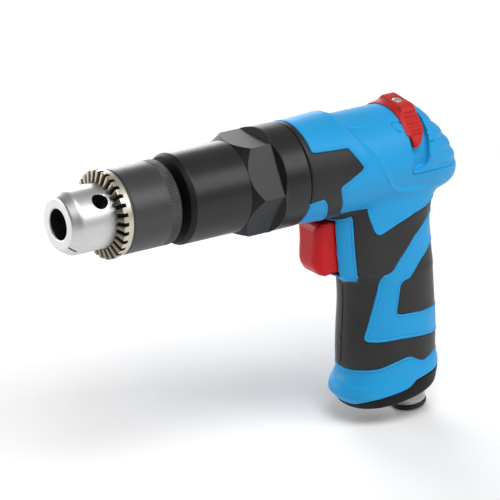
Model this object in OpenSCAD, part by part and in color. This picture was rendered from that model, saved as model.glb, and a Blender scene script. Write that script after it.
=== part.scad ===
// Pistol-grip air drill with a keyed 10 mm chuck.
// The spindle lies along X and points to +X, with the chuck face at x = 0.
// Depths are measured from the chuck face towards the rear, along -X.

/* [Chuck] */
// Radius of the plain bore in the nose
chuck_bore_r = 6.2; // [6.1:0.1:6.3]
// Radius of the nose
chuck_nose_r = 12.9; // [12.6:0.1:13.2]
// Radius of the flat front face
chuck_face_r = 10.5; // [9:0.1:11.5]
// Length of the front chamfer
chuck_chamfer_l = 3.8; // [3:0.1:5]
// Length of nose in front of the toothed ring
chuck_nose_l = 17.9; // [17:0.1:19]
// Length from the nose to the rear edge of the toothed ring
chuck_ring_l = 5.5; // [5:0.1:6]
// Radius of the toothed ring at its front edge
chuck_ring_r = 17.6; // [17.4:0.1:18]
// Forward slope of the toothed face, as a length
chuck_face_l = 1.2; // [0.8:0.1:1.6]
// Radius of the sleeve
chuck_sleeve_r = 17; // [16.8:0.1:18]
// Length of the plain sleeve behind its rim
chuck_sleeve_l = 23; // [22:0.1:24]
// Number of key teeth on the ring
chuck_teeth = 29; // [24:1:32]
// Radius of a key pilot hole
key_hole_r = 3; // [2.5:0.1:3.2]
// Depth of the key holes from the chuck face
key_hole_at = 13.4; // [12:0.1:14]
// Turn of the first key hole from the top, in degrees
key_hole_turn = 43; // [30:1:50]

/* [Jaws] */
// Slope of a jaw to the chuck axis, in degrees
jaw_slope = 20; // [19:0.5:21]
// Radius of a jaw
jaw_r = 2.6; // [2.4:0.1:2.7]
// Distance of the open grip faces from the axis
jaw_open_r = 5; // [4.5:0.1:5.2]
// Distance of the closed grip faces from the axis
jaw_closed_r = 0.8; // [0.6:0.1:1]
// Depth of the jaw tips when open
jaw_tip_at = 12.6; // [12:0.1:13.4]
// Depth of the jaw tails when open
jaw_tail_at = 37.5; // [36:0.1:38]
// Depth at which a jaw axis passes its mean radius
jaw_mean_at = 21.4; // [21:0.1:21.8]
// Radius of a jaw axis at that depth
jaw_mean_r = 6.2; // [6:0.1:6.4]

/* [Gear train] */
// Tooth module
tooth_module = 0.65; // [0.62:0.01:0.67]
// Teeth of the sun pinion
sun_teeth = 12; // [12:3:12]
// Teeth of a planet gear
planet_teeth = 15; // [15:3:15]
// Width of the gears
gear_w = 9; // [7:0.5:9.5]
// Radius of a planet pin
planet_pin_r = 1.5; // [1.2:0.1:1.8]
// Radius of the planet carrier flange
carrier_r = 12.4; // [11.5:0.1:12.6]
// Thickness of the carrier flange
carrier_l = 3.2; // [2.5:0.1:3.4]

/* [Spindle] */
// Radius of the chuck thread
spindle_thread_r = 4.76; // [4.5:0.01:5]
// Length of thread inside the chuck
spindle_thread_l = 15; // [12:0.5:15.5]
// Radius of the shoulder behind the chuck
spindle_shoulder_r = 8; // [7.5:0.1:8.4]

/* [Gear case] */
// Outer radius of the gear case
case_r = 18.4; // [18:0.1:18.8]
// Radius of the case front edge
case_lip_r = 17.2; // [16.8:0.1:17.6]
// Length of the front bevel
case_bevel_l = 2.2; // [1.5:0.1:3]
// Length of case in view
case_l = 27.7; // [27:0.1:28.4]
// Thickness of the front wall
case_front_t = 3.1; // [2.8:0.1:3.4]
// Inner radius of the gear chamber
case_bore_r = 16.4; // [16.2:0.05:16.6]
// Gap between the chuck and the gear case
case_gap = 2.9; // [2.5:0.1:3.4]
// Radius of the rear spigot screwed into the hex collar
case_spigot_r = 17.5; // [17.3:0.05:17.6]
// Length of that spigot
case_spigot_l = 8.4; // [7.5:0.1:8.6]

/* [Hex collar] */
// Depth of the spanner flats below the round collar
hex_flat_d = 2.7; // [2.5:0.05:2.75]
// Length of the spanner flats
hex_l = 13.6; // [12:0.1:15]
// Length of the slope behind the flats
hex_run_l = 2; // [1.5:0.1:2.5]
// Length of the front bevel of the hexagon
hex_bevel_l = 4.4; // [3.5:0.1:5]
// Wall of the round collar around the motor bore
collar_wall = 3.6; // [3.4:0.05:3.9]
// Whole length of the hex collar
collar_l = 26.6; // [26:0.1:27.2]
// Depth of the edge bevel at the rear of the collar
collar_edge = 0.6; // [0.3:0.1:1]

/* [Motor] */
// Radius of the motor cylinder
motor_r = 17.5; // [17.3:0.05:17.7]
// Length of the motor cylinder
motor_l = 50; // [49:0.5:51]
// Radius of the eccentric motor bore
motor_bore_r = 13.6; // [13.5:0.05:13.8]
// Offset of the motor bore above the spindle axis
motor_offset = 1.4; // [1.2:0.05:1.4]
// Radius of the rotor
rotor_r = 12; // [11.5:0.1:12]
// Thickness of an end plate
plate_t = 6; // [5.8:0.1:6.4]
// Number of vanes
vane_count = 5; // [4:1:6]
// Thickness of a vane
vane_t = 1.5; // [1.2:0.1:1.8]
// Height of a vane
vane_h = 5.6; // [4.8:0.1:5.8]

/* [Barrel] */
// Step from the round collar up to the front of the barrel
barrel_front_step = 0.4; // [0.2:0.05:0.7]
// Drop from the front of the barrel to its rear
barrel_drop = 2; // [1.6:0.05:2.2]
// Gap between the hex collar and the housing
barrel_gap = 0.4; // [0.3:0.1:0.8]
// Length from the housing front to the start of the rear dome
barrel_l = 57; // [55:0.5:58]
// Length of the rear dome
dome_l = 25.6; // [24:0.2:27]

/* [Grip] */
// Depth of the grip centre line from the chuck face
grip_at = 157.3; // [156.5:0.1:158]
// Size of the grip from front to back
grip_depth = 45.6; // [45:0.1:47]
// Width of the grip
grip_w = 32.6; // [32:0.1:34]
// Drop from the spindle axis to the lowest edge of the grip form
grip_drop = 109; // [107:0.5:111]
// Drop of the foot plane at the grip centre line
foot_drop = 100.5; // [99.5:0.1:101.5]
// Tilt of the foot plane, in degrees
foot_tilt = 8; // [6:0.5:9]
// Thickness of the rubber
rubber_t = 1.2; // [0.8:0.1:1.4]
// Step from the housing face down to the rubber
rubber_step = 0.3; // [0.2:0.05:0.5]

/* [Trigger] */
// Width of the trigger
trigger_w = 15; // [14:0.2:15.6]
// Height of the trigger
trigger_h = 23.6; // [22.5:0.1:24]
// Drop of the top of the trigger below the spindle axis
trigger_top = 22.4; // [22.2:0.1:22.8]
// Depth of the trigger face from the chuck face
trigger_face_at = 115.6; // [115:0.1:116.2]
// Length of the trigger
trigger_l = 17.7; // [17:0.1:18.2]
// Travel of the trigger
trigger_travel = 5.5; // [4.5:0.1:5.8]
// Room behind the trigger at the end of its travel
trigger_room = 1.2; // [0.8:0.1:1.6]
// Radius of the trigger stem
stem_r = 1.8; // [1.5:0.1:2]

/* [Throttle] */
// Radius of the valve chest
chest_r = 6; // [5.8:0.1:6.2]
// Length of the valve chest
chest_l = 26; // [25:0.5:27]
// Length of the valve seat bush
seat_l = 8; // [7.5:0.1:8.4]
// Radius of the valve disc
valve_r = 4.4; // [4:0.1:4.8]
// Thickness of the valve disc
valve_t = 3; // [2.5:0.1:3.4]
// Mean radius of the valve spring
spring_r = 3.3; // [3.2:0.1:3.6]
// Radius of the spring wire
spring_wire_r = 0.4; // [0.3:0.05:0.5]
// Turns of the spring
spring_turns = 6; // [4:1:8]

/* [Reverse lever] */
// Width of the lever slot
slot_w = 10; // [9.6:0.1:10.6]
// Depth of the slot centre from the chuck face
slot_at = 158.6; // [158.2:0.1:159]
// Depth of the slot floor below the barrel
slot_depth = 2.6; // [2.4:0.05:2.8]
// Height of the lever wings above the barrel
lever_proud = 1.3; // [1:0.1:1.8]
// Height of the lever crown above the wings
lever_crown_h = 2.1; // [1.6:0.1:2.6]
// Radius of the crown arc
lever_crown_r = 12; // [11.5:0.1:13]
// Half of the angle that the lever spans, in degrees
lever_span = 66; // [62:1:70]
// Turn of the lever to either side, in degrees
lever_turn = 22; // [15:1:22]
// Turn of the lever at rest toward the left side, in degrees
lever_rest = 7; // [0:1:10]
// Radius of the reverse valve
reverse_r = 13; // [12.5:0.1:13.2]

/* [Inlet] */
// Radius of the thread bore of the inlet
inlet_bore_r = 5.7; // [5.5:0.05:5.9]
// Length of the thread bore
inlet_bore_l = 14; // [12:0.5:15]
// Radius of the bush inside the grip
inlet_body_r = 9; // [8.7:0.1:9.1]
// Radius of the bush at its lower end
inlet_end_r = 7.4; // [7.2:0.1:7.8]
// Radius of the waist of the bush
inlet_waist_r = 7; // [6.8:0.1:7.2]
// Distance of the inlet axis behind the grip centre line
inlet_back = 10.7; // [10.5:0.1:11]
// Reach of the bush below the foot plane
inlet_reach = 13.9; // [13:0.1:14.5]
// Height of the bush inside the grip
inlet_in_l = 16; // [14:0.5:17]
// Height of the guard ring at the end of the bush
guard_h = 1.8; // [1.4:0.1:2.2]

/* [Bottom cover] */
// Thickness of the cover
cover_t = 3.8; // [3.4:0.1:4.4]
// Radius of the exhaust chamber
muffler_r = 9; // [8.5:0.1:9.1]
// Height of the exhaust chamber
muffler_h = 24; // [20:0.5:26]
// Distance of the exhaust chamber in front of the grip centre line
muffler_front = 8.6; // [8.4:0.1:9]
// Radius of a cover screw
screw_r = 1.25; // [1:0.05:1.5]

/* [Fits] */
// Radial clearance of a running fit
run_gap = 0.05; // [0.03:0.01:0.08]
// Clearance of a pressed or bonded seat
seat_gap = 0.02; // [0.01:0.01:0.04]
// Clearance between pieces that move past each other
free_gap = 0.3; // [0.25:0.05:0.4]
// Overrun of every cut
over = 1; // [0.5:0.1:2]

/* [Hidden] */

// Smoothness of true rounds
round_fn = 96;
small_fn = 48;

// Chuck stations
rim_at = chuck_nose_l + chuck_ring_l;
sleeve_end_at = rim_at + chuck_sleeve_l;
chuck_end_gap = 0.6;
chuck_end_at = sleeve_end_at + chuck_end_gap;
sleeve_wall = 1.6;
sleeve_bore_r = chuck_sleeve_r - sleeve_wall;
sleeve_edge = 1;
rim_step = 0.2;
gap_r = 0.75;
gap_in_d = 0.6;
gap_out_d = 2.6;
nut_at = 22;
nut_l = 5;
nut_groove_r = 8.9;
nut_side_gap = 0.5;
nut_thread_gap = 0.1;
chuck_core_r = 12;
chuck_tail_l = 5.4;
chuck_web_t = 4;
bore_step = 0.6;
chuck_screw_r = 2.5;
chuck_screw_head_r = 4.2;
chuck_screw_head_l = 2.4;
thread_gap = 0.04;
jaw_count = 3;
jaw_turn = 60;
jaw_sector = 60;

// Gear stations and tooth proportions
pressure_angle = 20;
addendum_share = 0.8;
dedendum_share = 1;
flank_shares = [0, 0.3, 0.65, 1];
backlash = 0.14;
ring_teeth = sun_teeth + 2 * planet_teeth;
planet_orbit = (sun_teeth + planet_teeth) * tooth_module / 2;
planet_count = 3;
case_at = chuck_end_at + case_gap;
case_hole_gap = 1;
case_end_at = case_at + case_l;
bearing_at = case_at + case_front_t;

// Ball bearings as bore radius, outer radius, width, ball circle radius, ball radius, ball count
spindle_bearing = [6, 14, 8, 10, 2.4, 8];
front_bearing = [5, 9.5, 5, 7.25, 1.4, 11];
rear_bearing = [4, 8, 5, 6, 1.2, 10];
circlip_t = 1.2;
circlip_bite = 0.6;
circlip_depth = 1.6;
carrier_gap = 1.2;
carrier_at = bearing_at + spindle_bearing[2] + circlip_t + carrier_gap;
gears_at = carrier_at + carrier_l + free_gap;

// Motor stations
plate_at = case_end_at + case_spigot_l + free_gap;
motor_at = plate_at + plate_t;
rear_plate_at = motor_at + motor_l;
motor_end_at = rear_plate_at + plate_t;
rear_bearing_at = motor_end_at - rear_bearing[2];
plate_hole_gap = 1;
rotor_end_gap = 0.3;
pinion_neck = 1.5;
vane_slot_gap = 0.1;
pin_r = 1;
pin_orbit_share = 0.92;
port_count = 3;
port_r = 2.2;

// Hex collar and insert stations
hex_turn = 2;
collar_end_at = case_end_at + collar_l;
collar_bore_r = case_spigot_r + thread_gap;
motor_bore_gap = 0.1;
barrel_bore_r = motor_r + motor_bore_gap;
insert_wall = 1.8;
insert_r = barrel_bore_r + insert_wall;
collar_r = barrel_bore_r + collar_wall;
hex_corner_step = 0.3;
hex_corner_r = collar_r + hex_corner_step;
hex_flats = 2 * (collar_r - hex_flat_d);
barrel_front_r = collar_r + barrel_front_step;
barrel_r = barrel_front_r - barrel_drop;
insert_gap = 0.02;
insert_front_l = 7.2;
insert_rear_l = 14;
barrel_at = collar_end_at + barrel_gap;

// Housing stations
dome_at = barrel_at + barrel_l;
front_round_shares = [[0, 0.972], [0.04, 0.985], [0.25, 0.995], [0.6, 1], [1, 0.995]];
front_l = 46;
// Dome rows as length share, top share, bottom share and half width share
dome_rows_shares = [
  [-0.15, 1, -1, 1], [0, 0.995, -1, 1], [0.13, 0.944, -1, 0.985], [0.29, 0.852, -1, 0.96],
  [0.445, 0.724, -1, 0.918], [0.6, 0.556, -0.99, 0.857], [0.74, 0.357, -0.96, 0.76],
  [0.855, 0.133, -0.9, 0.622], [0.94, -0.1, -0.8, 0.449], [1, -0.357, -0.63, 0.204]];
dome_square = 2.1;
step_shares = [[0.44, 1.2], [0.46, 0.84], [0.53, 0.57], [0.66, 0.29], [0.76, 0], [0.87, -0.37],
  [0.98, -0.55], [0.98, -1.2], [-0.2, -1.2], [-0.2, 1.2]];
valve_end_l = 1.6;
cavity_end_at = slot_at + slot_w / 2 + valve_end_l;
barrel_lead_l = 1;

// Grip rows as drop share, front share, rear share, half width share and squareness
grip_rows_shares = [
  [0.05, -0.64, 0.42, 0.95, 2.4], [0.13, -0.71, 0.465, 1.01, 2.4], [0.2, -0.73, 0.41, 1.02, 2.45],
  [0.27, -0.72, 0.383, 1.01, 2.5], [0.34, -0.705, 0.4, 1.005, 2.5], [0.42, -0.682, 0.428, 0.99, 2.5],
  [0.45, -0.55, 0.438, 0.985, 2.4], [0.48, -0.492, 0.45, 0.98, 2.2], [0.57, -0.485, 0.476, 0.98, 2.1],
  [0.66, -0.492, 0.49, 1, 2.1], [0.75, -0.5, 0.5, 1.005, 2.1], [0.81, -0.5, 0.5, 1.01, 2.1],
  [0.845, -0.508, 0.525, 1.035, 2.1], [0.88, -0.54, 0.52, 1.06, 2.2], [0.92, -0.55, 0.505, 1.06, 2.2],
  [0.96, -0.485, 0.465, 1.02, 2.2], [1, -0.425, 0.42, 0.97, 2.1]];
ring_points = 40;

// Rubber outlines on the side of the grip, as depth share and drop share
rubber_main_shares = [
  [-0.85, 0.147], [-0.57, 0.155], [-0.455, 0.155], [-0.465, 0.167], [-0.44, 0.203], [-0.402, 0.244],
  [-0.372, 0.262], [-0.33, 0.267], [-0.29, 0.26], [-0.13, 0.234], [0.045, 0.211], [0.215, 0.2],
  [0.7, 0.16], [0.7, 0.21], [0.38, 0.225], [0.25, 0.25], [0.054, 0.304], [-0.118, 0.383],
  [-0.19, 0.424], [-0.232, 0.431], [-0.285, 0.434], [-0.304, 0.45], [-0.314, 0.502],
  [-0.338, 0.563], [-0.402, 0.683], [-0.403, 0.695], [-0.383, 0.705], [-0.3, 0.707], [-0.1, 0.703],
  [0.067, 0.708], [0.2, 0.716], [0.335, 0.725], [0.7, 0.75], [0.7, 0.8], [0.366, 0.804],
  [0.282, 0.81], [0.187, 0.816], [0.133, 0.809], [0.034, 0.786], [-0.012, 0.782], [-0.148, 0.795],
  [-0.283, 0.814], [-0.397, 0.821], [-0.48, 0.824], [-0.7, 0.81], [-0.7, 0.485], [-0.491, 0.485],
  [-0.465, 0.459], [-0.549, 0.362], [-0.574, 0.273], [-0.59, 0.18], [-0.7, 0.192], [-0.85, 0.2]];
rubber_rear_shares = [
  [0.281, 0.365], [0.125, 0.411], [0.003, 0.466], [-0.064, 0.472], [-0.095, 0.485], [-0.13, 0.603],
  [0.2, 0.615], [0.34, 0.62], [0.7, 0.63], [0.7, 0.32]];
// Rubber outline on the side of the barrel front, as length share and radius share
rubber_front_shares = [
  [-0.1, 2], [0.046, 2], [0.058, 0.588], [0.42, 0.556], [0.54, 0.148], [0.325, -0.093],
  [0.296, -0.157], [0.4, -0.745], [0.42, -2], [0.25, -2], [0.19, -0.43], [0.147, -0.3],
  [0, -0.34], [-0.1, -0.34]];

// Trigger outline as length share and height share
trigger_shares = [
  [0.07, 0], [0.02, 0.16], [0.03, 0.4], [0.01, 0.62], [0, 0.72], [0.05, 0.82], [0.22, 0.95],
  [0.38, 1], [0.62, 0.975], [1, 0.975], [1, 0]];
trigger_round_share = 0.42;
pocket_gap = 0.4;
pocket_end_at = trigger_face_at + trigger_l + trigger_travel + trigger_room;
stem_drop_share = 0.5;
stem_z = -trigger_top - trigger_h * stem_drop_share;
stem_socket = 5;
valve_at = pocket_end_at + seat_l + free_gap;
stem_end_at = valve_at - free_gap;
valve_stem_r = 2;
valve_stem_l = 4.6;
seat_bore_r = 2.6;
spring_rings = 8;
spring_sides = 6;

// Reverse lever fittings
slot_floor_r = barrel_r - slot_depth;
lever_wing_r = barrel_r + lever_proud;
lever_top_r = lever_wing_r + lever_crown_h;
slot_span = 97;
boss_span = 14;
boss_w = 7;
boss_gap_span = 3;
lever_gap = 0.3;
lever_rib_count = 6;
lever_rib_r = 0.5;
lever_w = slot_w - 2 * lever_gap;
rib_first_share = 0.47;
rib_step_share = 0.085;
lever_screw_r = 1.6;
lever_screw_head_r = 3;
lever_screw_head_h = 1.6;
lever_screw_l = 9;
lever_screw_sink = 0.3;
cross_w = 0.9;
cross_l = 3.4;
cross_d = 0.9;
lever_screw_z = lever_top_r - lever_screw_sink;
valve_port_r = 2.2;
valve_port_orbit = 8.4;
valve_port_turn = 30;

// Inlet and cover fittings
passage_r = 4;
screen_t = 0.8;
screen_hole_r = 0.9;
screen_orbits = [0, 2.6];
screen_counts = [1, 6];
guard_r = 7.9;
guard_bite = 0.6;
seal_r = 0.9;
seal_step = 0.1;
cover_inset_shares = [0.965, 0.9];
cover_hole_gap = 0.3;
exhaust_slot_count = 5;
exhaust_slot_w = 1.6;
exhaust_slot_l = 9;
exhaust_slot_step = 3.2;
exhaust_r = 2.4;
exhaust_side = 9.4;
exhaust_at = 150;
felt_gap = 0.2;
felt_h = 20;
screw_side = 11.5;
screw_front = -1.5;
screw_l = 11;
screw_head_r = 2.4;
screw_head_h = 1.6;
screw_sink = 0.4;

// Colours
steel = [0.75, 0.75, 0.76];
dark_steel = [0.27, 0.27, 0.28];
blackened = [0.13, 0.13, 0.14];
blue = [0.16, 0.58, 0.84];
rubber_black = [0.1, 0.1, 0.1];
red = [0.78, 0.12, 0.13];
brass = [0.78, 0.63, 0.33];
felt_white = [0.85, 0.84, 0.8];

// Round piece about the spindle axis from points of radius and depth
module turned(points) {
  rotate([0, -90, 0]) rotate_extrude($fn = round_fn) polygon(points);
}

// Solid rod about the spindle axis between two depths
module rod(r, from, to) {
  translate([-from, 0, 0]) rotate([0, -90, 0]) cylinder(r = r, h = to - from, $fn = round_fn);
}

// Plain ring about the spindle axis between two depths
module ring(r_in, r_out, from, to) {
  turned([[r_in, from], [r_out, from], [r_out, to], [r_in, to]]);
}

// Copies around the spindle axis, with the first copy turned from the top
module around(count, first = 0) {
  for (i = [0 : count - 1]) rotate([-(first + i * 360 / count), 0, 0]) children();
}

// Side outline of depth and height points, extruded across the whole width
module side_slab(points, half_w) {
  rotate([90, 0, 0]) linear_extrude(2 * half_w, center = true) polygon([for (p = points) [-p[0], p[1]]]);
}

// Angle, in degrees, that an involute has unwound at radius r
function unwound(base_r, r) = let(a = acos(min(1, base_r / r))) tan(a) * 180 / PI - a;

// Half angle of a tooth at radius r
function tooth_half(teeth, pitch_r, base_r, slack, r) =
  90 / teeth - slack / pitch_r * 90 / PI + unwound(base_r, pitch_r) - unwound(base_r, max(base_r, r));

// Outline of a gear with its first tooth on the X axis of the outline
function gear_points(teeth, up_share, down_share, slack) =
  let(pitch_r = teeth * tooth_module / 2, base_r = pitch_r * cos(pressure_angle),
    root_r = pitch_r - down_share * tooth_module, tip_r = pitch_r + up_share * tooth_module,
    levels = [for (s = flank_shares) root_r + s * (tip_r - root_r)])
  [for (i = [0 : teeth - 1]) each concat(
    [for (k = [0 : len(levels) - 1])
      levels[k] * [cos(i * 360 / teeth - tooth_half(teeth, pitch_r, base_r, slack, levels[k])),
        sin(i * 360 / teeth - tooth_half(teeth, pitch_r, base_r, slack, levels[k]))]],
    [for (k = [len(levels) - 1 : -1 : 0])
      levels[k] * [cos(i * 360 / teeth + tooth_half(teeth, pitch_r, base_r, slack, levels[k])),
        sin(i * 360 / teeth + tooth_half(teeth, pitch_r, base_r, slack, levels[k]))]])];

// Gear about the spindle axis, starting at a depth
module gear(points, from, width) {
  translate([-from, 0, 0]) rotate([0, -90, 0]) linear_extrude(width) polygon(points);
}

// Axis line of one jaw, laid along the local Z axis from its mean point to the rear
module jaw_line() {
  translate([-jaw_mean_at, 0, jaw_mean_r]) rotate([0, -90 + jaw_slope, 0]) children();
}

// Distance along a jaw axis from its mean point to a depth
function jaw_run(depth) = (depth - jaw_mean_at) / cos(jaw_slope);

// Radius of the outer edge of a jaw at a depth
function jaw_edge(depth) = jaw_mean_r + (depth - jaw_mean_at) * tan(jaw_slope) + jaw_r / cos(jaw_slope);

// Chuck body with nose bore, key holes, jaw holes and spindle thread
module chuck_body() {
  color(steel) difference() {
    turned([[0, 0], [chuck_face_r, 0], [chuck_nose_r, chuck_chamfer_l], [chuck_nose_r, nut_at - nut_side_gap],
      [nut_groove_r, nut_at - nut_side_gap], [nut_groove_r, nut_at + nut_l + nut_side_gap],
      [chuck_core_r, nut_at + nut_l + nut_side_gap], [chuck_core_r, chuck_end_at - chuck_tail_l],
      [sleeve_bore_r - run_gap, chuck_end_at - chuck_tail_l],
      [sleeve_bore_r - run_gap, chuck_end_at], [0, chuck_end_at]]);
    rod(chuck_bore_r, -over, key_hole_at - key_hole_r - free_gap);
    rod(chuck_bore_r - bore_step, over, chuck_end_at - spindle_thread_l - chuck_web_t);
    rod(chuck_screw_r + run_gap, jaw_tip_at, chuck_end_at);
    rod(spindle_thread_r + thread_gap, chuck_end_at - spindle_thread_l - thread_gap, chuck_end_at + over);
    around(jaw_count, key_hole_turn) translate([-key_hole_at, 0, 0]) cylinder(r = key_hole_r,
      h = chuck_nose_r + over, $fn = small_fn);
    around(jaw_count, key_hole_turn + jaw_turn) jaw_line() translate([0, 0, jaw_run(chuck_chamfer_l)])
      cylinder(r = jaw_r + run_gap, h = jaw_run(chuck_end_at - chuck_tail_l) - jaw_run(chuck_chamfer_l),
        $fn = small_fn);
  }
}

// Sleeve with a ring of key teeth on its front
module chuck_sleeve() {
  lip_r = chuck_nose_r + free_gap / 2;
  lip_end_at = nut_at - nut_side_gap / 2;
  color(dark_steel) difference() {
    turned([[lip_r, chuck_nose_l], [chuck_ring_r, chuck_nose_l + chuck_face_l],
      [chuck_sleeve_r + rim_step, rim_at], [chuck_sleeve_r, rim_at + rim_step],
      [chuck_sleeve_r, sleeve_end_at - sleeve_edge], [chuck_sleeve_r - sleeve_edge, sleeve_end_at],
      [sleeve_bore_r, sleeve_end_at], [sleeve_bore_r, lip_end_at], [lip_r, lip_end_at]]);
    around(chuck_teeth) tooth_gap();
  }
}

// Gap between two key teeth, deeper at its outer end, with a round root
module tooth_gap() {
  root_in = [-chuck_nose_l - gap_in_d, chuck_nose_r];
  root_out = [-chuck_nose_l - gap_out_d, chuck_ring_r + over];
  rotate([90, 0, 0]) linear_extrude(2 * gap_r, center = true)
    polygon([root_in, root_out, [0, chuck_ring_r + over], [0, chuck_nose_r]]);
  run = root_out - root_in;
  translate([root_in[0], 0, root_in[1]]) rotate([0, atan2(run[0], run[1]), 0])
    cylinder(r = gap_r, h = norm(run), $fn = small_fn);
}

// Threaded nut that turns with the sleeve and drives the jaws
module chuck_nut() {
  color(steel) turned([[jaw_edge(nut_at) + nut_thread_gap, nut_at], [sleeve_bore_r - seat_gap, nut_at],
    [sleeve_bore_r - seat_gap, nut_at + nut_l], [jaw_edge(nut_at + nut_l) + nut_thread_gap, nut_at + nut_l]]);
}

// Jaw with a flat grip face along the chuck axis, and sides that clear its neighbours when closed
module chuck_jaw(turn) {
  face_half_w = jaw_closed_r * tan(jaw_sector) - free_gap;
  side_z = jaw_open_r - jaw_closed_r + (jaw_r + free_gap) / tan(jaw_sector);
  color(steel) rotate([-turn, 0, 0]) intersection() {
    jaw_line() translate([0, 0, jaw_run(jaw_tip_at) - jaw_r])
      cylinder(r = jaw_r, h = jaw_run(jaw_tail_at) - jaw_run(jaw_tip_at) + jaw_r, $fn = small_fn);
    translate([-jaw_tail_at, 0, 0]) rotate([90, 0, 90]) linear_extrude(jaw_tail_at - jaw_tip_at)
      polygon([[-face_half_w, jaw_open_r], [face_half_w, jaw_open_r], [jaw_r, side_z],
        [jaw_r, chuck_sleeve_r], [-jaw_r, chuck_sleeve_r], [-jaw_r, side_z]]);
  }
}

module chuck_jaw_1() {
  chuck_jaw(key_hole_turn + jaw_turn);
}

module chuck_jaw_2() {
  chuck_jaw(key_hole_turn + jaw_turn + 360 / jaw_count);
}

module chuck_jaw_3() {
  chuck_jaw(key_hole_turn + jaw_turn + 2 * 360 / jaw_count);
}

// Screw that locks the chuck on the spindle against unwinding
module chuck_screw() {
  head_at = chuck_end_at - spindle_thread_l - chuck_web_t;
  color(blackened) {
    rod(chuck_screw_head_r, head_at - chuck_screw_head_l, head_at);
    rod(chuck_screw_r, head_at, chuck_end_at - chuck_tail_l);
  }
}

// Spindle with chuck thread, shoulder, bearing seat and carrier flange
module spindle() {
  seat_end = bearing_at + spindle_bearing[2];
  color(steel) difference() {
    union() {
      rod(spindle_thread_r, chuck_end_at - spindle_thread_l, chuck_end_at);
      rod(spindle_shoulder_r, chuck_end_at, bearing_at);
      rod(spindle_bearing[0] - seat_gap, bearing_at, carrier_at);
      rod(carrier_r, carrier_at, carrier_at + carrier_l);
      rod(spindle_shoulder_r, seat_end, carrier_at);
    }
    rod(chuck_screw_r + run_gap, chuck_end_at - spindle_thread_l - over, chuck_end_at);
    around(planet_count) translate([0, 0, planet_orbit])
      rod(planet_pin_r + seat_gap, carrier_at - over, carrier_at + carrier_l + over);
  }
}

// Race of a ball bearing from its size row, outer or inner
module outer_race(b, at) {
  difference() {
    ring((b[3] + b[1]) / 2 - b[4] / 4, b[1] - seat_gap, at, at + b[2]);
    ball_track(b, at);
  }
}

module inner_race(b, at) {
  difference() {
    ring(b[0], (b[3] + b[0]) / 2 + b[4] / 4, at, at + b[2]);
    ball_track(b, at);
  }
}

// Groove that the balls run in
module ball_track(b, at) {
  translate([-at - b[2] / 2, 0, 0]) rotate([0, -90, 0]) rotate_extrude($fn = round_fn)
    translate([b[3], 0]) circle(r = b[4] + run_gap, $fn = small_fn);
}

module ball_set(b, at) {
  around(b[5]) translate([-at - b[2] / 2, 0, b[3]]) sphere(r = b[4], $fn = small_fn);
}

module spindle_bearing_outer() {
  color(steel) outer_race(spindle_bearing, bearing_at);
}

module spindle_bearing_inner() {
  color(steel) inner_race(spindle_bearing, bearing_at);
}

module spindle_bearing_balls() {
  color(steel) ball_set(spindle_bearing, bearing_at);
}

// Open ring that keeps the spindle bearing in the case
module bearing_circlip() {
  clip_at = bearing_at + spindle_bearing[2];
  clip_r = spindle_bearing[1] + circlip_bite;
  color(dark_steel) difference() {
    ring(spindle_bearing[1] - circlip_depth, clip_r - seat_gap, clip_at + seat_gap, clip_at + circlip_t);
    translate([-clip_at - circlip_t - over, -circlip_depth, -clip_r - over])
      cube([circlip_t + 2 * over, 2 * circlip_depth, clip_r]);
  }
}

module planet_pins() {
  color(steel) around(planet_count) translate([0, 0, planet_orbit])
    rod(planet_pin_r, carrier_at, gears_at + gear_w);
}

// Planet gear on its pin, with a tooth towards the ring and a gap towards the sun
module planet_gear(index) {
  points = gear_points(planet_teeth, addendum_share, dedendum_share, backlash);
  color(steel) rotate([-index * 360 / planet_count, 0, 0]) translate([0, 0, planet_orbit]) difference() {
    gear(points, gears_at, gear_w);
    rod(planet_pin_r + run_gap, gears_at - over, gears_at + gear_w + over);
  }
}

module planet_gear_1() {
  planet_gear(0);
}

module planet_gear_2() {
  planet_gear(1);
}

module planet_gear_3() {
  planet_gear(2);
}

// Internal ring gear pressed into the case
module ring_gear() {
  points = gear_points(ring_teeth, dedendum_share, addendum_share, -backlash);
  color(steel) difference() {
    rod(case_bore_r - seat_gap, gears_at - free_gap / 2, gears_at + gear_w + free_gap / 2);
    gear(points, gears_at - over, gear_w + 2 * over);
  }
}

// Front casing around the spindle bearing and the gears
module gear_case() {
  spigot_end = case_end_at + case_spigot_l;
  chamber_at = bearing_at + spindle_bearing[2] + circlip_t + seat_gap;
  clip_r = spindle_bearing[1] + circlip_bite;
  color(blackened) turned([[spindle_shoulder_r + case_hole_gap, case_at], [case_lip_r, case_at],
    [case_r, case_at + case_bevel_l], [case_r, case_end_at], [case_spigot_r, case_end_at],
    [case_spigot_r, spigot_end], [case_bore_r, spigot_end], [case_bore_r, chamber_at], [clip_r, chamber_at],
    [clip_r, bearing_at + spindle_bearing[2]], [spindle_bearing[1], bearing_at + spindle_bearing[2]],
    [spindle_bearing[1], bearing_at], [spindle_shoulder_r + case_hole_gap, bearing_at]]);
}

// Spanner hexagon and round collar that join the case to the housing
module hex_collar() {
  color(blackened) difference() {
    turned([[0, case_end_at], [case_r, case_end_at], [hex_corner_r, case_end_at + hex_bevel_l],
      [hex_corner_r, case_end_at + hex_l], [collar_r, case_end_at + hex_l + hex_run_l],
      [collar_r, collar_end_at - collar_edge], [collar_r - collar_edge, collar_end_at], [0, collar_end_at]]);
    around(6, hex_turn) spanner_flat();
    rod(collar_bore_r, case_end_at - over, plate_at + over);
    rod(barrel_bore_r, plate_at, collar_end_at + over);
    rod(insert_r + insert_gap, collar_end_at - insert_front_l - insert_gap, collar_end_at + over);
  }
}

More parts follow.
